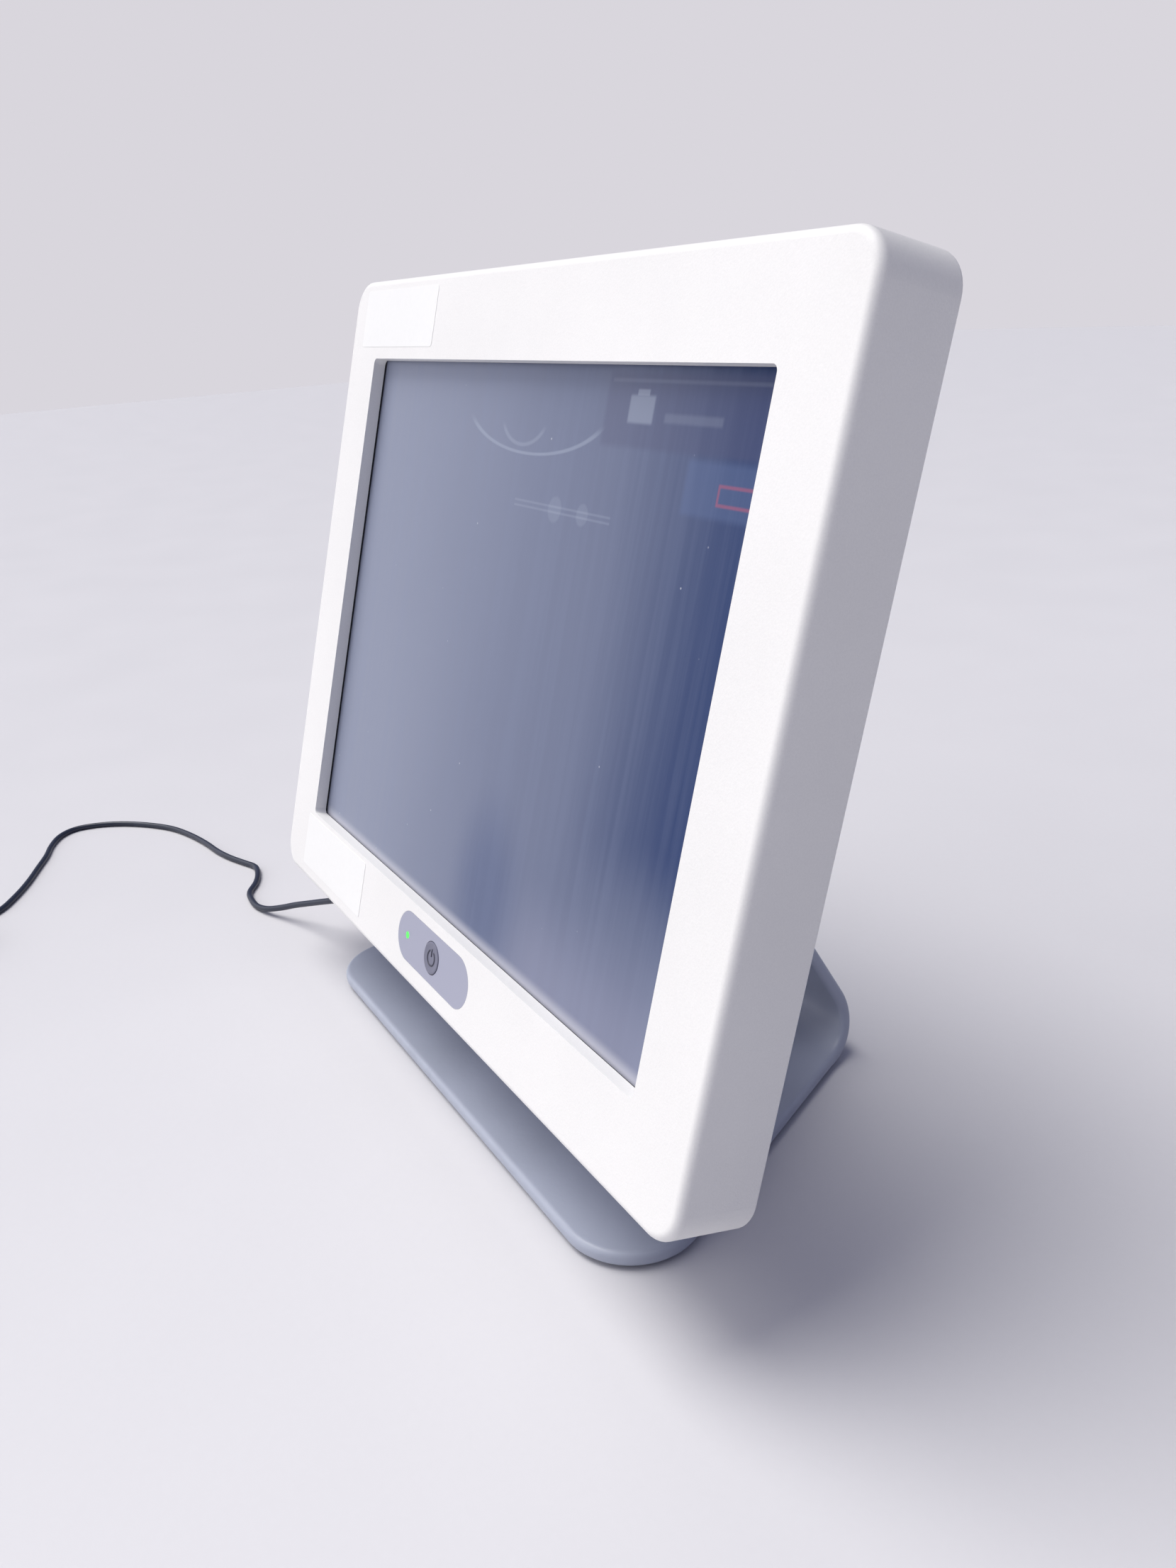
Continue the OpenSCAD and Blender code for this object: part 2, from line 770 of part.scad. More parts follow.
module chassis_plate() {
    color([0.68, 0.69, 0.71])
        on_panel()
            difference() {
                union() {
                    slab(chassis_w, chassis_h, 4, chassis_back, chassis_front);
                    for (p = pattern_places)
                        post(p, post_d, cover_in, chassis_back + eps);
                }
                for (p = pattern_places)
                    post(p, bracket_screw_d + 2 * screw_gap, cover_in - 1, chassis_front + 1);
                for (p = chassis_places)
                    post(p, cover_screw_d + 2 * pass_gap, chassis_back - 1, chassis_front + 1);
            }
}

module chassis_screws() {
    color([0.6, 0.6, 0.62])
        on_panel()
            for (p = chassis_places)
                screw(p, chassis_back, cover_screw_d, chassis_t + bracket_t + 6);
}

// ---------- panel: electronics ----------

module board(x0, x1, y0, y1) {
    box([x0, y0, board_back], [x1, y1, board_front]);
}

module main_board() {
    color([0.1, 0.35, 0.2])
        on_panel()
            difference() {
                board(board_x0, board_x1, board_y0, board_y1);
                for (p = board_places)
                    post(p, board_screw_d + 2 * pass_gap, board_back - 1, board_front + 1);
            }
}

module board_chips() {
    chips = [[0.28, 0.62, 26, 26], [0.72, 0.75, 14, 20], [0.72, 0.5, 14, 20], [0.3, 0.3, 18, 18],
        [0.68, 0.2, 22, 12]];
    w = board_x1 - board_x0;
    h = board_y1 - board_y0;
    color([0.08, 0.08, 0.09])
        on_panel()
            for (c = chips)
                translate([board_x0 + c[0] * w, board_y0 + c[1] * h, 0])
                    box([-c[2] / 2, -c[3] / 2, board_back - 1.3], [c[2] / 2, c[3] / 2, board_back]);
}

module heat_sink() {
    w = board_x1 - board_x0;
    h = board_y1 - board_y0;
    at = [board_x0 + 0.28 * w, board_y0 + 0.62 * h];
    top = board_back - 1.3;
    color([0.75, 0.76, 0.78])
        on_panel()
            translate([at[0], at[1], 0])
                union() {
                    box([-15, -15, top - 0.8], [15, 15, top]);
                    for (k = [-4 : 4])
                        box([3.4 * k - 0.7, -15, cover_in + part_gap], [3.4 * k + 0.7, 15, top - 0.8 + eps]);
                }
}

module inverter_board() {
    color([0.15, 0.3, 0.2])
        on_panel()
            difference() {
                union() {
                    board(inverter_x0, inverter_x1, -inverter_y, inverter_y);
                    for (y = [-40, 0, 40])
                        box([inverter_x0 + 10, y - 9, cover_in + part_gap + 0.4],
                            [inverter_x1 - 10, y + 9, board_back + eps]);
                }
                for (p = board_places)
                    post(p, board_screw_d + 2 * pass_gap, board_back - 1, board_front + 1);
            }
}

module board_standoffs() {
    color([0.8, 0.7, 0.4])
        on_panel()
            for (p = board_places)
                difference() {
                    post(p, standoff_d, board_front, chassis_back);
                    post(p, board_screw_d + 2 * screw_gap, board_front - 1, chassis_back - 0.4);
                }
}

module board_screws() {
    color([0.6, 0.6, 0.62])
        on_panel()
            for (p = board_places)
                screw(p, board_back, board_screw_d, board_t + 2.2);
}

module power_socket() {
    color([0.06, 0.06, 0.07])
        on_panel()
            difference() {
                box([plug_x - 4.5, bay_roof, plug_z - 3.6], [plug_x + 4.5, board_y0, plug_z + 3.6]);
                translate([plug_x, bay_roof + 10, plug_z])
                    rotate([90, 0, 0])
                        cylinder(d = socket_d, h = 12);
            }
}

module data_socket() {
    color([0.7, 0.71, 0.73])
        on_panel()
            difference() {
                box([data_x - 7.5, bay_roof, plug_z - 3.5], [data_x + 7.5, board_y0, plug_z + 3.5]);
                difference() {
                    box([data_x - 6.2, bay_roof - 1, plug_z - 2.4], [data_x + 6.2, board_y0 - 2, plug_z + 2.4]);
                    box([data_x - 5, bay_roof + 1, plug_z - 0.2], [data_x + 5, board_y0 - 1, plug_z + 1.6]);
                }
            }
}

// ---------- panel: keypad ----------

module keypad_overlay() {
    color([0.67, 0.68, 0.75])
        on_panel()
            difference() {
                translate([key_x, key_y, -overlay_t])
                    linear_extrude(overlay_t)
                        round_rect(overlay_w, overlay_h, overlay_h / 2 - eps);
                post([key_x, key_y], button_d + 2 * part_gap, -overlay_t - 1, 1);
                post([light_x, key_y], light_d + 0.2, -overlay_t - 1, 1);
            }
}

module keypad_board() {
    color([0.1, 0.35, 0.2])
        on_panel()
            difference() {
                box([key_x - key_board_w / 2, key_board_y0, key_board_z - board_t],
                    [key_x + key_board_w / 2, key_board_y1, key_board_z]);
                for (x = [-key_screw_x, key_screw_x])
                    post([key_x + x, key_screw_y], 2 + 2 * pass_gap, key_board_z - board_t - 1, key_board_z + 1);
            }
}

module keypad_screws() {
    color([0.6, 0.6, 0.62])
        on_panel()
            for (x = [-key_screw_x, key_screw_x])
                screw([key_x + x, key_screw_y], key_board_z - board_t, 2, board_t + 3.5);
}

module button_switch() {
    color([0.75, 0.75, 0.77])
        on_panel()
            union() {
                box([key_x - 2.8, key_y - 2.8, key_board_z], [key_x + 2.8, key_y + 2.8, switch_front - 0.5]);
                post([key_x, key_y], 3, switch_front - 0.5 - eps, switch_front);
            }
}

module status_light() {
    color([0.2, 0.8, 0.2])
        on_panel()
            post([light_x, key_y], light_d, key_board_z, 0);
}

module blank_labels() {
    color([0.97, 0.97, 0.97])
        on_panel() {
            translate([-panel_w / 2 + 56, panel_h / 2 - 18, 0])
                slab(82, 26, 1.5, 0, 0.15);
            translate([-panel_w / 2 + 66, -panel_h / 2 + 20.5, 0])
                slab(80, 27, 1.5, 0, 0.15);
        }
}

module power_button() {
    color([0.5, 0.51, 0.57])
        on_panel()
            union() {
                post([key_x, key_y], button_d, cap_back - eps, cap_proud);
                post([key_x, key_y], flange_d, flange_back, cap_back);
                post([key_x, key_y], 3, nub_back, flange_back + eps);
            }
}

// ---------- cord ----------

// Places children along the plug's axis: z runs up the panel, z = 0 at its centre line
module on_plug() {
    on_panel()
        translate([plug_x, 0, plug_z])
            rotate([-90, 0, 0])
                children();
}

module cord_plug() {
    color([0.05, 0.05, 0.06])
        on_plug()
            union() {
                translate([0, 0, relief_top])
                    cylinder(d = plug_d, h = plug_l);
                translate([0, 0, plug_top - eps])
                    cylinder(d = socket_d - 0.2, h = bay_wall + 9.5);
            }
}

module cord_relief() {
    color([0.05, 0.05, 0.06])
        on_plug()
            translate([0, 0, relief_end])
                cylinder(d1 = cord_d + 0.6, d2 = plug_d - 1, h = relief_l);
}

// The relief's tip and a point straight below it, in the row's own frame
function panel_point(x, y, z) =
    [x, y_shift + (panel_h / 2 + y) * sin(tilt) - z * cos(tilt),
        panel_lift + (panel_h / 2 + y) * cos(tilt) + z * sin(tilt)];
cord_start = panel_point(plug_x, relief_end - cord_gap, plug_z);
cord_straight = panel_point(plug_x, relief_end - 7, plug_z);

module cord_drop() {
    color([0.05, 0.05, 0.06])
        tube(smooth(concat([cord_start, cord_straight], drop_points), 2), cord_d, cord_sides);
}

module power_cord() {
    route = [for (p = table_points) [p[0], p[1], table_z]];
    color([0.05, 0.05, 0.06])
        union() {
            tube(smooth(route, 2), cord_d, cord_sides);
            tube(smooth(tail_points, 2), cord_d, cord_sides);
        }
}

module cord_coil() {
    color([0.05, 0.05, 0.06])
        translate([coil_at[0], coil_at[1], 0])
            rotate_extrude()
                translate([coil_in, 0])
                    square([coil_wide * cord_d, coil_high * cord_d]);
}

module supply_plug() {
    color([0.05, 0.05, 0.06])
        translate([supply_at[0], supply_at[1], supply_d / 2])
            rotate([0, 90, 0])
                union() {
                    cylinder(d = supply_d, h = supply_l - 12);
                    translate([0, 0, supply_l - 12 - eps])
                        cylinder(d = supply_d - 3, h = 12);
                }
}

foot_plate();
foot_pads();
hinge_block();
hinge_block_screws();
hinge_pin();
hinge_nut();
friction_washers();
tilt_bracket();
tilt_bracket_screws();
front_housing();
rear_cover();
rear_cover_screws();
screen_gasket();
touch_glass();
glass_tape();
lcd_frame();
lcd_cell();
backlight_unit();
lcd_brackets();
chassis_plate();
chassis_screws();
main_board();
board_chips();
heat_sink();
inverter_board();
board_standoffs();
board_screws();
power_socket();
data_socket();
keypad_overlay();
keypad_board();
keypad_screws();
button_switch();
status_light();
blank_labels();
power_button();
cord_plug();
cord_relief();
cord_drop();
power_cord();
cord_coil();
supply_plug();
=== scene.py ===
# %% [markdown]
# # A touchscreen terminal on a bent-plate desk stand
# A flat white housing holds a picture panel behind a sheet of touch glass. It tilts on a
# friction hinge at the top of a foot that is bent from one steel plate, and a thin lead
# runs from a plug at its back to an inline connector.
#
# The measured model is loaded first and is never moved. Every finish and every detailed
# piece is then made around it, in metres.

import json
import math

import bmesh
import bpy
from mathutils import Matrix, Vector


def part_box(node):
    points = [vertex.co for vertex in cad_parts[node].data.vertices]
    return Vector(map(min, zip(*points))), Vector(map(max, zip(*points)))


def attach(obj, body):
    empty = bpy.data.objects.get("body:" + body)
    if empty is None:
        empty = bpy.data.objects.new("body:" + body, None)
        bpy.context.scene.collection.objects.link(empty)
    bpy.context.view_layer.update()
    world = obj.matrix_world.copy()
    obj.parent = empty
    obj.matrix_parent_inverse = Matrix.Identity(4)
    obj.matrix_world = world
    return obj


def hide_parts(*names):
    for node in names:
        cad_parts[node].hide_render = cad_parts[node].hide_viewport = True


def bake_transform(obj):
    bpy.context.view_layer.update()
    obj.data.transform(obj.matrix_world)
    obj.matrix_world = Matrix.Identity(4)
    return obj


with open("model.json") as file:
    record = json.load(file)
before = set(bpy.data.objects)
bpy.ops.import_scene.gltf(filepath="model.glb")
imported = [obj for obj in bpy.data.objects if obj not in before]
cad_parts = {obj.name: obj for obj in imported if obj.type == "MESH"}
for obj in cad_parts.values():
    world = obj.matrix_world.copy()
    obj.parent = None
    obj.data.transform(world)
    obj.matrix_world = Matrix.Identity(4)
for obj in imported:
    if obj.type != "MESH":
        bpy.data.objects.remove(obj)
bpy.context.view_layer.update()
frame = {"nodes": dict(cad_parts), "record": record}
nodes = frame["nodes"]
MM = 0.001

# %% [markdown]
# ## The panel's own frame
# Everything on the panel is easiest to place flat: x to the right, y up the panel and z
# out of its face. The touch glass is a flat slab centred on the panel, so the middle of
# its box, moved forward by its known depth, is the middle of the front face.

# %% Panel frame
LEAN = math.radians(15)
GLASS_MIDDLE = 8.2 * MM


def middle_of(node):
    low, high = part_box(node)
    return (low + high) / 2


upright = Matrix.Rotation(math.pi / 2 - LEAN, 4, "X")
panel_middle = middle_of("touch_glass") + upright @ Vector((0, 0, GLASS_MIDDLE))
PANEL = Matrix.Translation(panel_middle) @ upright
print("front face's middle", [round(v, 5) for v in panel_middle])

# %% [markdown]
# ## Camera
# The object is seen from its right, a little above it and close by, so its edges draw
# together quickly. The lens and the small shift keep that framing.

# %% Camera
EYE = Vector((0.4466, -0.2560, 0.3255))
LOOK = Vector((-0.8335, 0.4362, -0.3391)).normalized()
SIDEWAYS = Vector((0.4829, 0.8734, -0.0636))

rightward = (SIDEWAYS - SIDEWAYS.dot(LOOK) * LOOK).normalized()
upward = rightward.cross(LOOK)
lens = bpy.data.cameras.new("studio_camera")
lens.sensor_width = 36
lens.lens = 29.136
lens.shift_x = 0.0281
lens.shift_y = -0.0152
lens.clip_start = 0.02
camera = bpy.data.objects.new("studio_camera", lens)
bpy.context.scene.collection.objects.link(camera)
camera.matrix_world = Matrix.Translation(EYE) @ Matrix((rightward, upward, -LOOK)).transposed().to_4x4()
bpy.context.scene.camera = camera
print("camera at", [round(v, 3) for v in EYE])

# %% [markdown]
# ## Shader arithmetic
# A finish is mostly arithmetic on patterns. Wrapping a node's output in a small class
# lets it be written as `0.5 + 0.1 * patches`, and each sign adds its Math node.

# %% Amounts and finishes
def opaque(value):
    """A plain colour with the full alpha that a socket asks for. Links pass unchanged."""
    return (*value, 1) if isinstance(value, tuple) and len(value) == 3 else value


class Amount:
    """A number that changes over a surface."""

    def __init__(self, finish, socket):
        self.finish = finish
        self.socket = socket

    def math(self, operation, *values):
        node = self.finish.add("ShaderNodeMath", {"operation": operation}, dict(enumerate(values)))
        return Amount(self.finish, node.outputs[0])

    def __add__(self, other):
        return self.math("ADD", self, other)

    def __sub__(self, other):
        return self.math("SUBTRACT", self, other)

    def __rsub__(self, other):
        return self.math("SUBTRACT", other, self)

    def __mul__(self, other):
        return self.math("MULTIPLY", self, other)

    __radd__ = __add__
    __rmul__ = __mul__

    def size(self):
        return self.math("ABSOLUTE", self)

    def ramp(self, low, high, start=0.0, end=1.0):
        """start below low, end above high, and a smooth step between them."""
        node = self.finish.add(
            "ShaderNodeMapRange",
            {"interpolation_type": "SMOOTHSTEP"},
            {0: self, 1: low, 2: high, 3: start, 4: end},
        )
        return Amount(self.finish, node.outputs[0])


class Finish:
    """One material, with short ways to add nodes to it."""

    def __init__(self, name, colour, rough, **fixed):
        self.material = bpy.data.materials.new(name)
        self.material.use_nodes = True
        self.tree = self.material.node_tree
        self.shader = self.tree.nodes["Principled BSDF"]
        self.colour = opaque(colour)
        self.shader.inputs["Base Color"].default_value = self.colour
        self.shader.inputs["Roughness"].default_value = rough
        for socket, value in fixed.items():
            self.shader.inputs[socket.replace("_", " ")].default_value = value
        self.place = self.add("ShaderNodeTexCoord").outputs["Object"]

    def add(self, kind, settings=None, sockets=None):
        node = self.tree.nodes.new(kind)
        for setting, value in (settings or {}).items():
            setattr(node, setting, value)
        for socket, value in (sockets or {}).items():
            self.set(node.inputs[socket], value)
        return node

    def set(self, socket, value):
        if isinstance(value, Amount):
            value = value.socket
        if isinstance(value, bpy.types.NodeSocket):
            self.tree.links.new(value, socket)
        else:
            socket.default_value = value

    def mapped(self, stretch=(1, 1, 1)):
        node = self.add("ShaderNodeMapping", None, {"Vector": self.place, "Scale": stretch})
        return node.outputs[0]

    def noise(self, scale, detail=2.0, rough=0.5, at=None):
        sockets = {"Vector": at or self.place, "Scale": scale, "Detail": detail, "Roughness": rough}
        return Amount(self, self.add("ShaderNodeTexNoise", None, sockets).outputs[0])

    def cells(self, scale, feature="F1", at=None):
        sockets = {"Vector": at or self.place, "Scale": scale}
        node = self.add("ShaderNodeTexVoronoi", {"feature": feature}, sockets)
        return Amount(self, node.outputs["Distance"])

    def attribute(self, name):
        return Amount(self, self.add("ShaderNodeAttribute", {"attribute_name": name}).outputs["Fac"])

    def mix(self, amount, first, second):
        """The first colour where the amount is 0, the second where it is 1."""
        sockets = {0: amount, 6: opaque(first), 7: opaque(second)}
        return self.add("ShaderNodeMix", {"data_type": "RGBA"}, sockets).outputs[2]

    def use(self, socket, value):
        self.set(self.shader.inputs[socket], value)
        return self

    def bump(self, height, depth, strength=1.0):
        sockets = {"Height": height, "Distance": depth, "Strength": strength}
        self.use("Normal", self.add("ShaderNodeBump", None, sockets).outputs[0])
        return self


print("shader helpers ready")

# %% [markdown]
# ## Ways to make a piece
# Four small makers cover this object: a tube that follows a line, a part turned on a
# lathe, a copy of a measured part with its edges broken, and the step that puts a
# finished mesh in the scene on the body that carries it.

# %% Makers
def colour(red, green, blue):
    """A colour picked as on a screen, turned into the light values that a shader takes."""
    return tuple((v / 255) ** 2.2 for v in (red, green, blue))


def shaded(base, share):
    """A colour made darker, or lighter, by a share."""
    return tuple(v * share for v in base)


CREASE = math.radians(35)


def piece(name, shape, body, slot, stands_for=(), finish=None):
    """Turns a built shape into a finished object that rides on a body. The finish is the
    one named after its slot, unless another is given."""
    bmesh.ops.recalc_face_normals(shape, faces=shape.faces)
    data = bpy.data.meshes.new(name)
    shape.to_mesh(data)
    shape.free()
    for face in data.polygons:
        face.use_smooth = True
    data.set_sharp_from_angle(angle=CREASE)
    data.materials.append((finish or finishes[slot]).material)
    return settle(bpy.data.objects.new(name, data), body, stands_for)


def settle(made, body, stands_for=()):
    """Puts an object in the scene, on its body, in place of the measured parts it stands for."""
    if made.name not in bpy.context.scene.collection.objects:
        bpy.context.scene.collection.objects.link(made)
    if body:
        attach(made, body)
    if stands_for:
        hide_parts(*stands_for)
    print(made.name, len(made.data.polygons), "faces")
    return made


def band(shape, first, second):
    """Faces between two rings of corners. A ring may be a single point."""
    count = max(len(first), len(second))
    for k in range(count):
        j = (k + 1) % count
        corners = [first[k % len(first)], first[j % len(first)]]
        corners += [second[j % len(second)], second[k % len(second)]]
        corners = list(dict.fromkeys(corners))
        if len(corners) > 2:
            shape.faces.new(corners)


def skin(shape, rings):
    """Walls from each ring of corners to the next."""
    for first, second in zip(rings, rings[1:]):
        band(shape, first, second)


def lathe(profile, place, sides=48, shape=None):
    """A turned part: profile is (radius, height) in mm from one end to the other."""
    shape = shape or bmesh.new()
    rings = []
    for radius, height in profile:
        angles = [math.tau * k / sides for k in range(sides if radius else 1)]
        corners = [Vector((radius * math.cos(a), radius * math.sin(a), height)) for a in angles]
        rings.append([shape.verts.new(place @ (corner * MM)) for corner in corners])
    skin(shape, rings)
    return shape


def tube(line, radius, sides=12, shape=None):
    """A round tube along a line of points, closed at both ends."""
    shape = shape or bmesh.new()
    heading = (line[1] - line[0]).normalized()
    side = heading.orthogonal().normalized()
    rings = []
    for k, point in enumerate(line):
        heading = (line[min(k + 1, len(line) - 1)] - line[max(k - 1, 0)]).normalized()
        side = (side - side.dot(heading) * heading).normalized()
        over = heading.cross(side)
        turns = [math.tau * i / sides for i in range(sides)]
        spokes = [math.cos(t) * side + math.sin(t) * over for t in turns]
        rings.append([shape.verts.new(point + radius * spoke) for spoke in spokes])
    skin(shape, rings)
    shape.faces.new(rings[0])
    shape.faces.new(rings[-1])
    return shape


def softened(node, name, width, body, slot, steps=2):
    """A copy of a measured part whose sharp edges are broken by width mm."""
    shape = bmesh.new()
    shape.from_mesh(nodes[node].data)
    bmesh.ops.remove_doubles(shape, verts=shape.verts, dist=1e-6)
    bmesh.ops.dissolve_limit(shape, angle_limit=math.radians(0.5), verts=shape.verts, edges=shape.edges)
    sharp = [e for e in shape.edges if e.is_manifold and e.calc_face_angle(0) > math.radians(40)]
    broken = {"offset": width * MM, "segments": steps, "profile": 0.5, "clamp_overlap": True}
    bmesh.ops.bevel(shape, geom=sharp, affect="EDGES", **broken)
    return piece(name, shape, body, slot, (node,))


print("makers ready")

# %% [markdown]
# ## Finishes
# The housing is moulded with a fine pebble texture. Such a surface is a field of tiny
# bumps less than a millimetre apart, and its colour is nearly even, so the bump and a
# slight change of gloss do the work. The foot is powder coated: smoother, with the soft
# ripple called orange peel, and worn a little paler along its edges.

# %% Moulded, painted and rubber finishes
def moulded(name, base, pebble=1400, depth=0.05, rough=0.5, shade=0.93):
    """Moulded plastic with a pebbled surface."""
    made = Finish(name, base, rough)
    patches = made.noise(9, 3)
    pebbles = made.noise(pebble, 2, 0.6)
    blotches = (patches * 0.6 + pebbles * 0.4).ramp(0.3, 0.7)
    made.use("Base Color", made.mix(blotches, shaded(base, shade), base))
    made.use("Roughness", rough - 0.06 + 0.12 * patches)
    return made.bump(pebbles, depth * MM)


def painted(name, base, edge, rough=0.42, wear=None):
    """Powder coat over steel, with a soft ripple and paler edges."""
    made = Finish(name, base, rough)
    ripple = made.noise(420, 3, 0.55)
    cloud = made.noise(14, 3)
    coat = made.mix(cloud.ramp(0.35, 0.65), shaded(base, 0.9), base)
    if wear:
        rubbed = made.attribute(wear) * made.noise(60, 4, 0.65).ramp(0.3, 0.62, 0.35, 1.0)
        coat = made.mix(rubbed, coat, edge)
    made.use("Base Color", coat)
    made.use("Roughness", rough - 0.05 + 0.1 * ripple)
    return made.bump(ripple, 0.06 * MM)


def soft_rubber(name, base, rough=0.62, depth=0.04):
    """Rubber or foam, dull and very slightly dusty."""
    made = Finish(name, base, rough)
    dust = made.noise(55, 4, 0.6).ramp(0.5, 0.8)
    dusty = tuple(v * 1.8 + 0.01 for v in base)
    made.use("Base Color", made.mix(dust * 0.5, base, dusty))
    made.use("Roughness", rough - 0.08 + 0.16 * made.noise(240, 2))
    return made.bump(made.noise(900, 2), depth * MM)


def worked_metal(name, base, rough=0.32, stretch=(1, 30, 30), metallic=1.0):
    """Plated or brushed metal, with fine lines from rolling or turning."""
    made = Finish(name, base, rough, Metallic=metallic)
    lines = made.noise(55, 3, 0.6, at=made.mapped(stretch))
    made.use("Base Color", made.mix(lines.ramp(0.3, 0.7), shaded(base, 0.84), base))
    made.use("Roughness", rough - 0.06 + 0.16 * lines)
    return made.bump(lines, 0.01 * MM)


finishes = {
    "housing_white": moulded("pebbled_white", colour(237, 236, 234)),
    "cover_white": moulded("pebbled_cover", colour(228, 227, 231), 1100, 0.06),
    "overlay_grey": moulded("keypad_film", colour(160, 162, 180), 2600, 0.012, 0.45, 0.97),
    "key_grey": moulded("key_cap", colour(112, 113, 131), 2000, 0.02, 0.42, 0.94),
    "label_white": moulded("label_film", colour(240, 240, 238), 500, 0.008, 0.38, 0.97),
    "light_tray": moulded("light_tray", colour(225, 225, 220), 700, 0.02, 0.6),
    "plug_black": moulded("plug_body", colour(34, 34, 37), 1500, 0.04, 0.46, 0.8),
    "socket_black": moulded("socket_body", colour(40, 40, 43), 1600, 0.03, 0.5, 0.8),
    "chip_black": moulded("chip_resin", colour(38, 38, 41), 1900, 0.02, 0.55, 0.8),
    "stand_paint": painted("foot_paint", colour(164, 170, 186), colour(168, 174, 189), 0.4, "edge"),
    "dark_paint": painted("bracket_paint", colour(78, 81, 88), colour(110, 114, 122), 0.45),
    "pad_rubber": soft_rubber("pad_rubber", colour(42, 42, 44), 0.7),
    "gasket_foam": soft_rubber("gasket_foam", colour(30, 30, 33), 0.85, 0.12),
    "cord_black": soft_rubber("cord_jacket", colour(36, 43, 60), 0.4, 0.015),
    "plated_steel": worked_metal("zinc_plate", colour(196, 198, 204), 0.3, (20, 20, 20)),
    "washer_bronze": worked_metal("washer_bronze", colour(198, 164, 112), 0.35, (20, 20, 20)),
    "display_metal": worked_metal("display_frame_steel", colour(192, 194, 198), 0.38),
    "zinc_sheet": worked_metal("galvanised_sheet", colour(200, 203, 208), 0.42),
    "heat_sink_alloy": worked_metal("anodised_alloy", colour(190, 193, 199), 0.45),
    "brass_spacer": worked_metal("spacer_brass", colour(205, 180, 120), 0.34, (20, 20, 20)),
}
print(len(finishes), "finishes")

# %% [markdown]
# ## Circuit boards and the lit lamp
# A board is green lacquer over copper. The copper shows as a net of slightly paler
# tracks, which the edges of a cell pattern draw well enough for a part that is out of
# sight. The lamp glows a little unevenly, as a moulded lens does.

# %% Board and lamp
board = Finish("board_lacquer", colour(26, 92, 58), 0.3, Coat_Weight=0.4)
tracks = board.cells(170, "DISTANCE_TO_EDGE").ramp(0.03, 0.07, 1, 0)
lacquer = board.mix(board.noise(40, 3).ramp(0.35, 0.65), colour(20, 80, 50), board.colour)
board.use("Base Color", board.mix(tracks, lacquer, colour(58, 136, 88)))
board.use("Roughness", 0.26 + 0.14 * board.noise(90, 2)).bump(tracks, 0.03 * MM)
finishes["circuit_board"] = board

lamp = Finish("green_lamp", colour(60, 226, 70), 0.25, Emission_Strength=0.9, Coat_Weight=0.5)
spark = lamp.noise(900, 2)
lamp.use("Base Color", lamp.mix(spark, colour(60, 214, 70), lamp.colour))
lamp.use("Emission Color", lamp.mix(spark, colour(30, 206, 44), colour(84, 250, 84)))
finishes["light_green"] = lamp
print("board and lamp")

# %% [markdown]
# ## The screen
# Touch glass with an anti-glare face is neither clear nor mirror-like: it turns the
# room's light into a soft haze, and here that haze is a painted reflection in the colour.
# The picture behind it is dim here, so the glass reads as slate blue, paler on the left
# where the painted haze is thickest and darkest on the right above its lowest third, with
# faint upright streaks where it was wiped. The colour is worked out in the panel's own
# flat frame, which a Mapping node gives from the object's place, in mm from its middle.

# %% Places on the screen
screen = Finish("slate_screen", colour(96, 108, 140), 0.42, Specular_IOR_Level=0.22)
flat = screen.add(
    "ShaderNodeMapping",
    {"vector_type": "TEXTURE"},
    {"Vector": screen.place, "Location": panel_middle, "Rotation": (math.pi / 2 - LEAN, 0, 0)},
).outputs[0]
apart = screen.add("ShaderNodeSeparateXYZ", None, {0: flat})
across = Amount(screen, apart.outputs[0]) * 1000
up = Amount(screen, apart.outputs[1]) * 1000


def stretched(scale, stretch, detail=3):
    node = screen.add("ShaderNodeMapping", None, {"Vector": flat, "Scale": stretch})
    return screen.noise(scale, detail, 0.55, at=node.outputs[0])


def box_mark(x, y, half_w, half_h, soft=0.8):
    """1 inside a soft-edged box whose middle is x, y in mm, 0 outside."""
    beside = (across - x).size().ramp(half_w - soft, half_w + soft, 1, 0)
    return beside * (up - y).size().ramp(half_h - soft, half_h + soft, 1, 0)


def far_from(x, y, flatten=1.0):
    """Distance in mm from x, y. A flattened one makes ovals."""
    sideways, upwards = across - x, (up - y) * flatten
    square = sideways * sideways + upwards * upwards
    return square.math("SQRT", square)


def layered(face, layers):
    """Lays each tint over the face by its amount, the lowest layer first."""
    for amount, tint in layers:
        face = screen.mix(amount, face, tint)
    return face


print("the screen is measured in mm from the panel's middle")

# %% Slate blue glass
WINDOW_LOW = -114.1
streaks = stretched(70, (3.2, 0.1, 1), 4).ramp(0.36, 0.72)
haze = stretched(7, (1.0, 0.7, 1), 2)
drift = (haze - 0.5) * 60
# Painted reflection: the pale haze of the room's light, thinning from left to right.
painted_haze_fade = (across + drift * 0.5).ramp(-150, 112)
# Darkest blue on the right, where no painted haze lies over the dim picture.
night = (across + drift * 0.4).ramp(55, 160) * (up + drift).ramp(-78, -34)
# Painted reflection: a patch of the room's light as haze, low on the right.
painted_haze_low = (across + drift).ramp(35, 75) * (up + drift * 0.3).ramp(-108, -66, 1, 0)
# A darker oval low in the middle of the glass.
darker_oval = far_from(24, -92, 0.7).ramp(6, 36, 0.5, 0)
glass = [
    (painted_haze_fade, colour(99, 107, 132)),
    (night, colour(24, 50, 96)),
    (painted_haze_low * 0.8, colour(130, 134, 156)),
    (darker_oval, colour(70, 84, 120)),
    (streaks * 0.08, colour(158, 167, 190)),
]
lit = layered(colour(136, 142, 161), glass)
print(len(glass), "layers of glass")

# %% [markdown]
# ### The dim picture
# The picture holds only plain shapes, none of them lettering: a header strip with a tile
# and a bar, two arcs of a dial, a slider with two knobs and a rounded outline. Each one
# is an amount that is 1 inside the shape, so it can be laid over the glass like a tint.

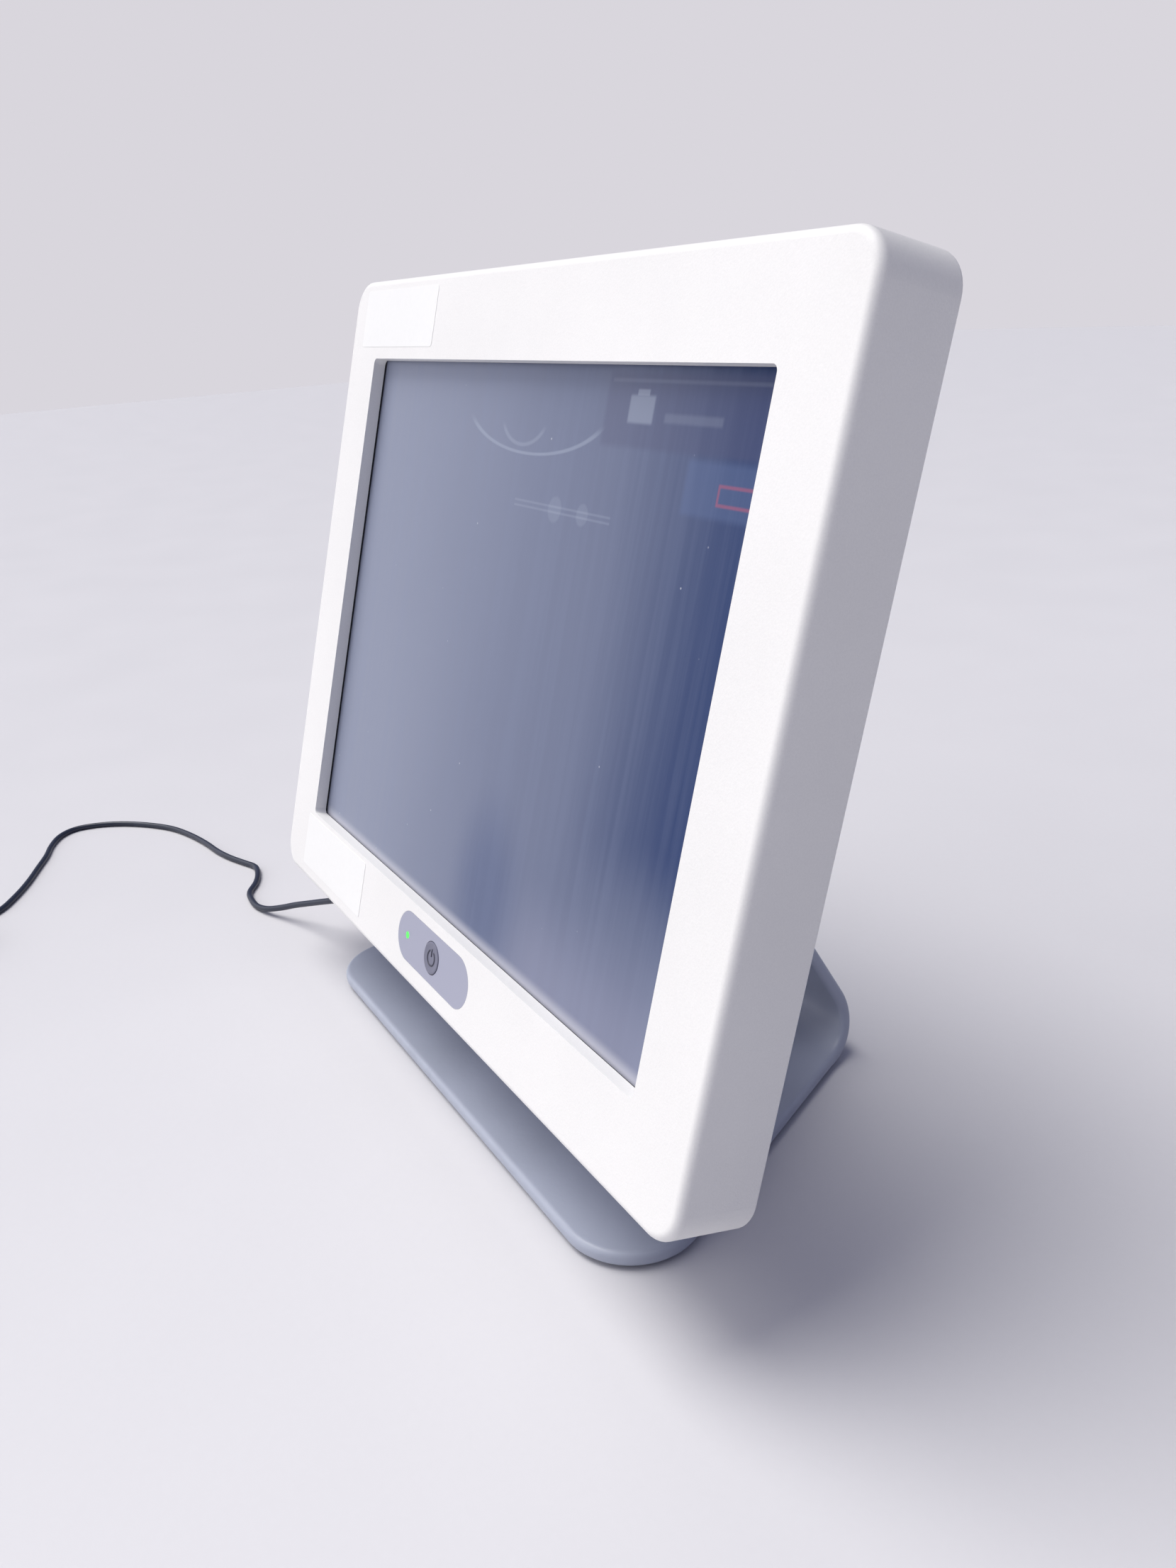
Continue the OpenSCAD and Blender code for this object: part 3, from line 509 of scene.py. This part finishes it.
# %% Plain shapes on the screen
def arc_mark(x, y, flatten, radius, thin, thick, top):
    """The lower part of an oval ring: full within thin of its line, gone past thick."""
    ring = (far_from(x, y, flatten) - radius).size().ramp(thin, thick, 1, 0)
    return ring * up.ramp(*top, 1, 0)


def dot_mark(x, y, radius, soft=0.6):
    return far_from(x, y).ramp(radius - soft, radius + soft, 1, 0)


HEADER_X, HEADER_Y = 104, 99.5
TILE_X = 76.5
SLIDER_X, SLIDER_Y, SLIDER_HALF = 33.5, 61.6, 35.5
OUTLINE_X, OUTLINE_Y = 137, 75.8

header = box_mark(HEADER_X, HEADER_Y, 50, 12.5, 1.5)
header_line = box_mark(HEADER_X, HEADER_Y + 9.7, 48, 0.6, 0.5)
header_bar = box_mark(HEADER_X + 3, HEADER_Y - 2, 16, 1.5)
tile = box_mark(TILE_X, 99.8, 7.5, 4.6) + box_mark(TILE_X, 105.4, 3.6, 1.0, 0.5)
outer_arc = arc_mark(2, 100, 2.86, 56, 0.8, 2.4, (88, 94))
inner_arc = arc_mark(-4, 95, 1.57, 18, 0.5, 1.7, (88, 92))
slider = box_mark(SLIDER_X, SLIDER_Y - 1, SLIDER_HALF, 0.4, 0.3)
slider = slider + box_mark(SLIDER_X, SLIDER_Y + 1, SLIDER_HALF, 0.4, 0.3)
knobs = dot_mark(30, SLIDER_Y, 4.8) + dot_mark(50, SLIDER_Y, 4.0)
button_strip = box_mark(OUTLINE_X - 6, OUTLINE_Y + 1.2, 22, 8.5, 1.5)
outline_mark = box_mark(OUTLINE_X, OUTLINE_Y, 10.2, 3.4, 0.4)
outline_mark = outline_mark - box_mark(OUTLINE_X, OUTLINE_Y, 9.2, 2.4, 0.4)

pale = outer_arc * 0.3 + inner_arc * 0.2 + slider * 0.16 + knobs * 0.12 + tile * 0.34
pale = pale + header_bar * 0.12 + header_line * 0.1
# Painted highlight: a pale band along the glass's bottom edge, under the lit lower window wall.
painted_bottom_highlight = up.ramp(WINDOW_LOW, WINDOW_LOW + 5.6, 1, 0)
specks = screen.cells(95, at=flat).ramp(0.028, 0.05, 1, 0) * stretched(60, (1, 1, 1)).ramp(0.52, 0.62)
picture = [
    (header * 0.3, colour(76, 76, 104)),
    (button_strip * 0.3, colour(92, 110, 150)),
    (pale, colour(172, 182, 198)),
    (outline_mark * 0.45, colour(172, 84, 104)),
    (painted_bottom_highlight * 0.7, colour(196, 196, 206)),
    (specks * 0.5, colour(205, 208, 216)),
]
screen.use("Base Color", layered(lit, picture))
screen.use("Roughness", 0.36 + 0.14 * streaks + 0.1 * haze)
screen.bump(stretched(2400, (1, 1, 1), 1), 0.008 * MM)
finishes["touch_glass"] = screen
print("screen finish with", len(screen.tree.nodes), "nodes")

# %% The display behind the glass
cell = Finish("display_cell", colour(58, 70, 96), 0.3)
cell.use("Base Color", cell.mix(cell.noise(20, 2), colour(50, 62, 88), cell.colour))
cell.use("Roughness", 0.26 + 0.1 * cell.noise(120, 2))
finishes["display_cell"] = cell
print(len(finishes), "finishes with the screen's")

# %% [markdown]
# ## Every measured part gets its finish
# The record says which material slot each part takes, so one loop dresses them all.
# Parts that are replaced further on are hidden then.

# %% Dress the measured parts
def slot_of(node):
    return next(part["material_slot"] for part in frame["record"]["subparts"] if part["node"] == node)


for name, part in nodes.items():
    finish = finishes[slot_of(name)].material
    if part.material_slots:
        for material_slot in part.material_slots:
            material_slot.material = finish
    else:
        part.data.materials.append(finish)
print(len(nodes), "parts dressed")

# %% [markdown]
# ## The lead
# A thin round lead leaves a straight plug in the bay at the back, drops to the table and
# wanders off. It is 1.8 m long, as such leads are. Its spare length lies in a neat coil
# of about nine turns, three turns wide, and ends in a round inline connector.
#
# A curve object could do it, but the lead is made as one mesh tube. The points are those
# of the measured model, joined by a smooth curve.

# %% The lead's route
CORD = 3.5 * MM
PLUG_X, PLUG_DEPTH = -150, -27.6
RELIEF_END, RELIEF_TOP = -152.2, -132.2
ON_TABLE = 1.75


def on_panel(x, y, z):
    return PANEL @ (Vector((x, y, z)) * MM)


hanging = [(-157, -65, 29), (-167, -68.5, 25), (-179, -72.5, 20.5), (-191, -77, 16), (-203, -82, 11.5)]
hanging += [(-214, -87.5, 7), (-225, -93, 3.4)]
lying = [(-236, -96), (-247, -96), (-257, -94), (-268, -87), (-280, -82), (-292, -80), (-303, -84)]
lying += [(-316, -89), (-331, -93), (-350, -96), (-371, -101), (-392, -109), (-410, -122), (-424, -137)]
lying += [(-432, -152), (-434, -166), (-427, -177), (-413, -185), (-396, -191), (-378, -199)]
lying += [(-358, -208), (-340, -218), (-326, -228), (-318, -240), (-316, -254)]


def smooth(points, steps):
    """Points along the smooth curve through the given ones."""
    line = []
    for k in range(len(points) - 1):
        a, b = points[max(k - 1, 0)], points[k]
        c, d = points[k + 1], points[min(k + 2, len(points) - 1)]
        for step in range(steps):
            t = step / steps
            square, cube = t * t, t * t * t
            level = 2 * b + (c - a) * t + (2 * a - 5 * b + 4 * c - d) * square
            line.append(0.5 * (level + (3 * b - a - 3 * c + d) * cube))
    return line + [points[-1]]


# %% [markdown]
# ### Winding the coil
# In a level-wound coil each turn is a true circle that steps over to the next track in a
# short slant. When a layer is full the lead climbs beside the last slant. The list below
# says at which angle each step or climb starts, how far it runs, and where it leads.

# %% Coil
COIL_AT = Vector((-293, -270))
TRACKS = (24.6, 21.0, 17.4)
BESIDE = 28.4
LAYER_RISE = 3.55
LAYERS = [ON_TABLE + LAYER_RISE * k for k in range(4)]
winding = [
    (460, 60, TRACKS[1], LAYERS[0]),
    (820, 60, TRACKS[2], LAYERS[0]),
    (1120, 60, TRACKS[2], LAYERS[1]),
    (1420, 60, TRACKS[1], LAYERS[1]),
    (1780, 60, TRACKS[0], LAYERS[1]),
    (2080, 60, TRACKS[0], LAYERS[2]),
    (2380, 60, TRACKS[1], LAYERS[2]),
    (2740, 60, TRACKS[2], LAYERS[2]),
    (3040, 60, TRACKS[2], LAYERS[3]),
    (3290, 110, TRACKS[0], LAYERS[3]),
    (3400, 45, BESIDE, LAYERS[3]),
    (3430, 75, BESIDE, ON_TABLE),
]
COIL_STARTS, COIL_ENDS, COIL_STEP = 180, 3505, 12


def coil_point(angle):
    """Where the lead is after this many degrees of winding, in mm."""
    radius, height = TRACKS[0], ON_TABLE
    for start, run, to_radius, to_height in winding:
        done = min(max((angle - start) / run, 0), 1)
        done = done * done * (3 - 2 * done)
        if done:
            radius += (to_radius - radius) * done
            height += (to_height - height) * done
    turn = math.radians(angle)
    return Vector((COIL_AT.x + radius * math.cos(turn), COIL_AT.y + radius * math.sin(turn), height))


coil = [coil_point(angle) for angle in range(COIL_STARTS, COIL_ENDS + 1, COIL_STEP)]
tail = [(-288, -298.9, 1.9), (-280, -299.6, 3.3), (-274, -300, 5.1), (-270, -300, 5.5)]

start = [on_panel(PLUG_X, RELIEF_END + y, PLUG_DEPTH) / MM for y in (2, -7)]
route = start + [Vector(p) for p in hanging] + [Vector((x, y, ON_TABLE)) for x, y in lying]
way_out = smooth([coil[-1]] + [Vector(p) for p in tail], 3)
lead_line = smooth(route + coil[:1], 4)[:-1] + coil + way_out[1:]
lead_line = [Vector((p.x, p.y, max(p.z, ON_TABLE))) * MM for p in lead_line]
lead_length = sum((b - a).length for a, b in zip(lead_line, lead_line[1:]))
print("the lead is", round(lead_length, 3), "m along", len(lead_line), "points")

# %% [markdown]
# ### Plug, strain relief and connector
# These are turned shapes: a barrel with grip rings, a sleeve that narrows towards the
# lead in steps so that it can flex, and a round inline connector with a bare metal tip.

# %% Plug and relief
def along_panel(x, y, z):
    """Stands a turned part's axis up the panel."""
    return PANEL @ Matrix.Translation(Vector((x, y, z)) * MM) @ Matrix.Rotation(-math.pi / 2, 4, "X")


def groove(radius, at, depth, wide):
    """Profile points of one ring that is cut into a turned part, its sides sloped."""
    low = radius - depth
    return [(radius, at), (low, at + depth), (low, at + wide - depth), (radius, at + wide)]


BARREL = 3.8
barrel = [(0, 0), (BARREL - 0.7, 0), (BARREL, 0.7)]
for k in range(5):
    barrel += groove(BARREL, 4 + 2.2 * k, 0.35, 1.35)
barrel += [(BARREL, 19.5), (BARREL - 0.5, 20), (2.75, 20), (2.75, 31.2), (2.45, 31.5), (0, 31.5)]
plug_place = along_panel(PLUG_X, RELIEF_TOP, PLUG_DEPTH)
plug = piece("lead_plug", lathe(barrel, plug_place), "terminal", "plug_black", ("cord_plug",))

sleeve = [(0, 0), (1.95, 0)]
for step in range(7):
    at = 0.6 + 2.7 * step
    radius = 2.05 + 0.19 * step
    neck = radius - 0.25
    sleeve += [(radius, at), (radius + 0.1, at + 1.7), (neck, at + 1.95), (neck, at + 2.45)]
sleeve += [(3.3, 19.6), (3.3, 20), (0, 20)]
sleeve_place = along_panel(PLUG_X, RELIEF_END, PLUG_DEPTH)
relief = piece("lead_relief", lathe(sleeve, sleeve_place), "terminal", "plug_black", ("cord_relief",))

# %% Inline connector
SHELL = 5.5
CONNECTOR_AT = (-272, -300, SHELL)
shell = [(0, 0), (2.4, 0), (2.8, 0.5), (3.6, 4), (SHELL - 0.5, 6.5), (SHELL, 7.5)]
for k in range(5):
    shell += groove(SHELL, 9 + 2.4 * k, 0.4, 1.5)
shell += [(SHELL, 23), (SHELL - 0.5, 23.6), (4.0, 24), (4.0, 35.2)]
shell += [(3.4, 36), (1.4, 36), (1.4, 28), (0, 28)]
lying_down = Matrix.Translation(Vector(CONNECTOR_AT) * MM) @ Matrix.Rotation(math.pi / 2, 4, "Y")
connector = piece("lead_connector", lathe(shell, lying_down), "stand", "plug_black", ("supply_plug",))

# %% Lead
stretches = ("cord_drop", "power_cord", "cord_coil")
lead = piece("lead", tube(lead_line, CORD / 2), None, "cord_black", stretches)
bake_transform(lead)

# %% [markdown]
# ## The foot
# One steel plate makes the whole foot: its outline is cut flat, its edges are rounded,
# and then its back is bent up to carry the hinge. The model is made in the same order.
# The flat outline gets rings of corners round its edge for the rounding, the flat solid
# is sliced where it will bend, and each corner is then carried round the bend.

# %% Flat outline of the foot
SETBACK, DEPTH, FOOT_W, FOOT_T = 3.5, 171.5, 312, 6
CORNER, TAPER, BEND = 27.5, 0.5, 19
TOP_HALF, TOP_CORNER, EASE = 45, 12, 75
RISER_TAPER = 0.8 * TAPER
OFF_RISER, PAST_PIN = 11.5, 12
CORNER_STEPS, BEND_STEPS, EASE_STEPS, TOP_STEPS = 24, 20, 16, 12

foot_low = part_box("foot_plate")[0] / MM
shift_y, foot_z = foot_low.y - SETBACK, foot_low.z
hinge = Vector(next(j for j in frame["record"]["behaviour"]["joints"] if j["name"] == "tilt")["pos_m"]) / MM
bend_y = SETBACK + DEPTH - BEND
reach = Vector((hinge.y - shift_y - bend_y, hinge.z - foot_z - BEND))
bend_angle = math.atan2(reach.y, reach.x) - math.asin((OFF_RISER - (BEND - FOOT_T)) / reach.length)
rise = Vector((math.cos(bend_angle), math.sin(bend_angle)))
inward = Vector((-rise.y, rise.x))
riser_foot = Vector((bend_y, BEND)) - BEND * inward
riser_length = reach.dot(rise) + PAST_PIN
side_angle = math.atan(TAPER)
bend_half = FOOT_W / 2 - TAPER * DEPTH + TAPER * BEND
bend_run = (BEND - FOOT_T / 2) * bend_angle
bend_at = bend_y - SETBACK
riser_at = bend_at + bend_run
riser_half = bend_half - RISER_TAPER * bend_run


def eased(u):
    """Half width of the riser, u mm up from the bend."""
    t = min(u / EASE, 1)
    square, cube = t * t, t * t * t
    start_share = 2 * cube - 3 * square + 1
    slope_share = cube - 2 * square + t
    return start_share * riser_half - slope_share * EASE * RISER_TAPER + (1 - start_share) * TOP_HALF


corner_x = FOOT_W / 2 - CORNER * (1 + math.sin(side_angle)) / math.cos(side_angle)
right = []
for k in range(CORNER_STEPS + 1):
    a = -math.pi / 2 + k * (math.pi / 2 + side_angle) / CORNER_STEPS
    right.append((corner_x + CORNER * math.cos(a), CORNER + CORNER * math.sin(a)))
for k in range(5):
    run = bend_run * k / 4
    right.append((bend_half - RISER_TAPER * run, bend_at + run))
for k in range(1, EASE_STEPS + 1):
    u = EASE * k / EASE_STEPS
    right.append((eased(u), riser_at + u))
for k in range(TOP_STEPS + 1):
    a = math.pi / 2 * k / TOP_STEPS
    half = TOP_HALF - TOP_CORNER * (1 - math.cos(a))
    right.append((half, riser_at + riser_length - TOP_CORNER * (1 - math.sin(a))))
outline = [Vector(p) for p in right] + [Vector((-x, s)) for x, s in reversed(right)]
print("outline of", len(outline), "corners, bent by", round(math.degrees(bend_angle), 1), "degrees")

# %% Rounded edge, slices and bend
EDGE_R = 2.3
ROUND_STEPS = 5


def inset(points, amount):
    """The outline drawn in by amount."""
    moved = []
    for k, point in enumerate(points):
        before, after = point - points[k - 1], points[(k + 1) % len(points)] - point
        before, after = before.normalized(), after.normalized()
        normal = Vector((-before.y - after.y, before.x + after.x)).normalized()
        moved.append(point + normal * amount / max(normal.dot(Vector((-before.y, before.x))), 0.5))
    return moved


def bent(x, s, h):
    """Where a point of the flat plate goes: s along the plate, h up from its underside."""
    if s <= bend_at:
        y, z = SETBACK + s, h
    elif s <= riser_at:
        a = (s - bend_at) / (BEND - FOOT_T / 2)
        y, z = bend_y + (BEND - h) * math.sin(a), BEND - (BEND - h) * math.cos(a)
    else:
        y, z = riser_foot + (s - riser_at) * rise + h * inward
    return Vector((x, y + shift_y, z + foot_z)) * MM


quarter = [math.pi / 2 * k / ROUND_STEPS for k in range(ROUND_STEPS + 1)]
section = [(EDGE_R + 0.5, 0)]
section += [(EDGE_R * (1 - math.sin(a)), EDGE_R * (1 - math.cos(a))) for a in quarter]
section += [(EDGE_R * (1 - math.cos(a)), FOOT_T - EDGE_R * (1 - math.sin(a))) for a in quarter]
section += [(EDGE_R + 0.5, FOOT_T)]
foot = bmesh.new()
rings = [[foot.verts.new((p.x, p.y, h)) for p in inset(outline, amount)] for amount, h in section]
skin(foot, rings)
foot.faces.new(rings[0])
foot.faces.new(rings[-1])
slices = [bend_at + bend_run * k / BEND_STEPS for k in range(BEND_STEPS + 1)]
slices += [riser_at + EASE * k / EASE_STEPS for k in range(1, EASE_STEPS + 1)]
for cut in slices:
    everything = foot.verts[:] + foot.edges[:] + foot.faces[:]
    bmesh.ops.bisect_plane(foot, geom=everything, dist=1e-4, plane_co=(0, cut, 0), plane_no=(0, 1, 0))
edge = foot.verts.layers.float.new("edge")
for vert in foot.verts:
    vert[edge] = 1.0 if 0.2 < vert.co.z < FOOT_T - 0.2 else 0.0
    vert.co = bent(*vert.co)
piece("bent_foot", foot, "stand", "stand_paint", ("foot_plate",))

# %% [markdown]
# ## Rubber pads and hinge parts
# The pads are moulded with a soft rim. The hinge block, the tilt bracket, the pin and
# its nut are cut and bent metal, whose edges are never knife sharp, so copies of the
# measured parts have their edges broken. That thin bright line is what makes metal read
# as metal.

# %% Pads and hinge
PAD_R, PAD_T = 8, 1.5
FRONT_PAD = (FOOT_W / 2 - 34, SETBACK + 20)
REAR_PAD = (bend_half - 16, bend_y - 12)
pad_profile = [(0, 0), (PAD_R - 0.9, 0), (PAD_R - 0.4, 0.12), (PAD_R - 0.1, 0.5)]
pad_profile += [(PAD_R, 1.0), (PAD_R, PAD_T), (0, PAD_T)]
pads = bmesh.new()
for x, y in (FRONT_PAD, REAR_PAD):
    for side in (1, -1):
        lathe(pad_profile, Matrix.Translation(Vector((side * x, y + shift_y, 0)) * MM), 32, pads)
piece("rubber_pads", pads, "stand", "pad_rubber", ("foot_pads",))
softened("hinge_block", "hinge_block_body", 0.8, "stand", "dark_paint")
softened("hinge_pin", "pivot_pin", 0.4, "stand", "plated_steel")
softened("hinge_nut", "pivot_nut", 0.4, "stand", "plated_steel")
softened("friction_washers", "pivot_washers", 0.12, "stand", "washer_bronze", 1)
softened("tilt_bracket", "tilt_bracket_body", 0.5, "terminal", "dark_paint")

# %% [markdown]
# ## Screws
# Sixteen screws show at the back. One is modelled, a rounded head with a six-sided
# socket, and Geometry Nodes put a copy at each place, each turned by a different amount
# as a person would leave them. The copies are then made real, because a library part
# can't hold instances.

# %% One screw
SOCKET_FLOOR = -0.10


def hexagon(angle):
    """How far out a six-sided outline is at an angle, 1 at its corners."""
    return math.cos(math.pi / 6) / math.cos(angle % (math.pi / 3) - math.pi / 6)


def screw_part(name, length):
    """A screw whose head is 1 across, head towards -z and shank towards +z."""
    sides = 36
    shape = bmesh.new()
    socket = [(0.25, SOCKET_FLOOR), (0.25, -0.275)]
    dome = [(0.29, -0.3), (0.36, -0.292), (0.43, -0.262), (0.475, -0.20), (0.498, -0.12)]
    dome += [(0.5, -0.02), (0.49, 0)]
    shank = [(0.25, 0), (0.25, length - 0.1), (0.17, length)]
    rings = [[shape.verts.new((0, 0, SOCKET_FLOOR))]]
    for radius, height in socket + dome + shank:
        ring = []
        for k in range(sides):
            a = math.tau * k / sides
            r = radius * hexagon(a) if (radius, height) in socket else radius
            ring.append(shape.verts.new((r * math.cos(a), r * math.sin(a), height)))
        rings.append(ring)
    rings.append([shape.verts.new((0, 0, length))])
    skin(shape, rings)
    bmesh.ops.recalc_face_normals(shape, faces=shape.faces)
    data = bpy.data.meshes.new(name)
    shape.to_mesh(data)
    shape.free()
    return bpy.data.objects.new(name, data)


# %% The tree that repeats it
def repeat_tree():
    """A copy of a part at each point, faced one way and spun by chance, then made real."""
    tree = bpy.data.node_groups.new("fasteners_at_points", "GeometryNodeTree")
    sockets = [
        ("Places", "NodeSocketGeometry"),
        ("Part", "NodeSocketObject"),
        ("Head diameter", "NodeSocketFloat"),
        ("Facing", "NodeSocketVector"),
        ("Seed", "NodeSocketInt"),
        ("Finish", "NodeSocketMaterial"),
    ]
    for label, kind in sockets:
        tree.interface.new_socket(label, in_out="INPUT", socket_type=kind)
    tree.interface.new_socket("Fasteners", in_out="OUTPUT", socket_type="NodeSocketGeometry")

    def add(kind, **links):
        node = tree.nodes.new(kind)
        for socket, value in links.items():
            target = node.inputs[socket.replace("_", " ")]
            if isinstance(value, bpy.types.NodeSocket):
                tree.links.new(value, target)
            else:
                target.default_value = value
        return node

    given = tree.nodes.new("NodeGroupInput").outputs
    part = add("GeometryNodeObjectInfo", Object=given["Part"])
    facing = add("FunctionNodeEulerToRotation", Euler=given["Facing"])
    copies = add(
        "GeometryNodeInstanceOnPoints",
        Points=given["Places"],
        Instance=part.outputs["Geometry"],
        Rotation=facing.outputs[0],
        Scale=given["Head diameter"],
    )
    spin = tree.nodes.new("FunctionNodeRandomValue")
    spin.data_type = "FLOAT"
    for socket in spin.inputs:
        if socket.name == "Max" and socket.type == "VALUE":
            socket.default_value = math.tau
        if socket.name == "Seed":
            tree.links.new(given["Seed"], socket)
    turn = tree.nodes.new("ShaderNodeCombineXYZ")
    tree.links.new(next(s for s in spin.outputs if s.type == "VALUE"), turn.inputs[2])
    spun = add("GeometryNodeRotateInstances", Instances=copies.outputs[0], Rotation=turn.outputs[0])
    real = add("GeometryNodeRealizeInstances", Geometry=spun.outputs[0])
    dressed = add("GeometryNodeSetMaterial", Geometry=real.outputs[0], Material=given["Finish"])
    tree.links.new(dressed.outputs[0], tree.nodes.new("NodeGroupOutput").inputs[0])
    return tree


fasteners = repeat_tree()
print("tree of", len(fasteners.nodes), "nodes")

# %% Place the screws
def screws(name, node, places, facing, diameter, length, body, seed):
    """Real screws at the given places, standing for a measured node."""
    part = screw_part(name + "_part", length / diameter)
    data = bpy.data.meshes.new(name + "_places")
    data.from_pydata([tuple(p) for p in places], [], [])
    holder = bpy.data.objects.new(name + "_places", data)
    bpy.context.scene.collection.objects.link(holder)
    modifier = holder.modifiers.new("fasteners", "NODES")
    modifier.node_group = fasteners
    values = {
        "Part": part,
        "Head diameter": diameter * MM,
        "Facing": facing,
        "Seed": seed,
        "Finish": finishes["plated_steel"].material,
    }
    for item in fasteners.interface.items_tree:
        if item.name in values:
            modifier[item.identifier] = values[item.name]
    bpy.context.view_layer.update()
    shown = holder.evaluated_get(bpy.context.evaluated_depsgraph_get())
    made = bpy.data.objects.new(name, bpy.data.meshes.new_from_object(shown))
    bpy.data.objects.remove(holder)
    bpy.data.objects.remove(part)
    for face in made.data.polygons:
        face.use_smooth = True
    made.data.set_sharp_from_angle(angle=CREASE)
    return settle(made, body, (node,))


panel_facing = tuple(upright.to_euler())
FLANGE_OUT, BRACKET_OUT = -30.7, -36.8
BOSS_XS, BOSS_YS = (-172, -70, 70, 172), (-139, 139)
PATTERN = (-50, 50)
BLOCK_XS, BLOCK_UPS = (-14, 14), (-17, 3)

cover_places = [on_panel(x, y, FLANGE_OUT) for x in BOSS_XS for y in BOSS_YS]
screws("cover_screws", "rear_cover_screws", cover_places, panel_facing, 6, 11, "terminal", 1)
bracket_places = [on_panel(x, y, BRACKET_OUT) for x in PATTERN for y in PATTERN]
screws("bracket_screws", "tilt_bracket_screws", bracket_places, panel_facing, 8, 12, "terminal", 2)

riser_facing = (bend_angle, 0, 0)
pin_along = riser_at + reach.dot(rise)
block_places = [bent(x, pin_along + u, 0) for x in BLOCK_XS for u in BLOCK_UPS]
screws("block_screws", "hinge_block_screws", block_places, riser_facing, 8, 9.6, "stand", 3)

# %% [markdown]
# ## The power key
# The key is a shallow dished cap with a softly rounded rim. Its mark is the usual open
# ring with a bar, moulded as a thin raised line, because a line that stands up keeps its
# shape in a bare mesh.

# %% Key and its mark
KEY_AT = (1, -130)
CAP_R, CAP_TOP, CAP_BACK = 6.9, 0.35, -6.0
FLANGE_R, FLANGE_BACK = 8.5, -7.0
NUB_R, NUB_BACK = 1.5, -7.45
key_profile = [(0, NUB_BACK), (NUB_R, NUB_BACK), (NUB_R, FLANGE_BACK)]
key_profile += [(FLANGE_R, FLANGE_BACK), (FLANGE_R, CAP_BACK), (CAP_R, CAP_BACK)]
key_profile += [(CAP_R, CAP_TOP - 0.35), (CAP_R - 0.1, CAP_TOP - 0.12), (CAP_R - 0.35, CAP_TOP)]
key_profile += [(CAP_R - 1.0, CAP_TOP), (CAP_R - 1.5, CAP_TOP - 0.12), (CAP_R - 3.5, CAP_TOP - 0.22)]
key_profile += [(0, CAP_TOP - 0.25)]
key_place = PANEL @ Matrix.Translation(Vector((*KEY_AT, 0)) * MM)
piece("power_key", lathe(key_profile, key_place, 64), "button", "key_grey", ("power_button",))

mark_finish = moulded("key_mark", colour(62, 63, 78), 2000, 0.01, 0.5, 0.9)
MARK_R, MARK_LINE, MARK_Z = 3.3, 0.42, 0.02
HALF_GAP, ARC_STEPS = 32, 40
turned = [(360 - 2 * HALF_GAP) * k / ARC_STEPS for k in range(ARC_STEPS + 1)]
arc = [math.radians(90 + HALF_GAP + t) for t in turned]
ring_line = [key_place @ (Vector((MARK_R * math.cos(a), MARK_R * math.sin(a), MARK_Z)) * MM) for a in arc]
bar_line = [key_place @ (Vector((0, y, MARK_Z)) * MM) for y in (0.6, 1.6, 2.8, 3.9)]
mark = tube(ring_line, MARK_LINE * MM, 10)
tube(bar_line, MARK_LINE * MM, 10, mark)
piece("key_mark", mark, "button", "key_grey", finish=mark_finish)

# %% [markdown]
# ## Studio
# A plain pale table and soft light. The lights are suns whose discs are made very wide,
# one overhead and a weaker one in front to the left, because they light near and far
# alike, as a bright ceiling and a window do. The surround is faintly blue where it lights
# the shadows, and a plain pale grey where the camera sees it.

# %% Floor and lights
FLOOR_HALF = 6.0
AIM = Vector((0, 0, 0.15))
floor_finish = moulded("pale_table", colour(213, 212, 215), 300, 0.02, 0.55, 0.985)
floor_shape = bmesh.new()
bmesh.ops.create_grid(floor_shape, x_segments=12, y_segments=12, size=FLOOR_HALF)
floor_data = bpy.data.meshes.new("pale_floor")
floor_shape.to_mesh(floor_data)
floor_shape.free()
floor_data.materials.append(floor_finish.material)
floor = bpy.data.objects.new("pale_floor", floor_data)
bpy.context.scene.collection.objects.link(floor)


def sun(name, at, power, tint, spread):
    """A sun that shines from a point towards the object. A wide spread softens its shadows."""
    data = bpy.data.lights.new(name, "SUN")
    data.energy = power
    data.color = tint
    data.angle = math.radians(spread)
    made = bpy.data.objects.new(name, data)
    bpy.context.scene.collection.objects.link(made)
    facing = (Vector(at) - AIM).to_track_quat("Z", "Y").to_matrix().to_4x4()
    made.matrix_world = Matrix.Translation(at) @ facing


sun("overhead", (-0.32, -0.24, 1.2), 2.45, (1.0, 0.98, 0.94), 42)
sun("front_left", (-0.5, -0.9, 0.65), 1.75, (1.0, 0.98, 0.95), 85)

surround = bpy.data.worlds.new("pale_surround")
surround.use_nodes = True
sky = surround.node_tree
shade = sky.nodes["Background"]
shade.inputs["Color"].default_value = (0.64, 0.67, 1.0, 1)
shade.inputs["Strength"].default_value = 0.27
backdrop = sky.nodes.new("ShaderNodeBackground")
backdrop.inputs["Color"].default_value = opaque(colour(216, 213, 220))
chosen = sky.nodes.new("ShaderNodeMixShader")
sky.links.new(sky.nodes.new("ShaderNodeLightPath").outputs["Is Camera Ray"], chosen.inputs[0])
sky.links.new(shade.outputs[0], chosen.inputs[1])
sky.links.new(backdrop.outputs[0], chosen.inputs[2])
sky.links.new(chosen.outputs[0], sky.nodes["World Output"].inputs["Surface"])
bpy.context.scene.world = surround
bpy.context.scene.view_settings.view_transform = "Standard"
print("studio ready")
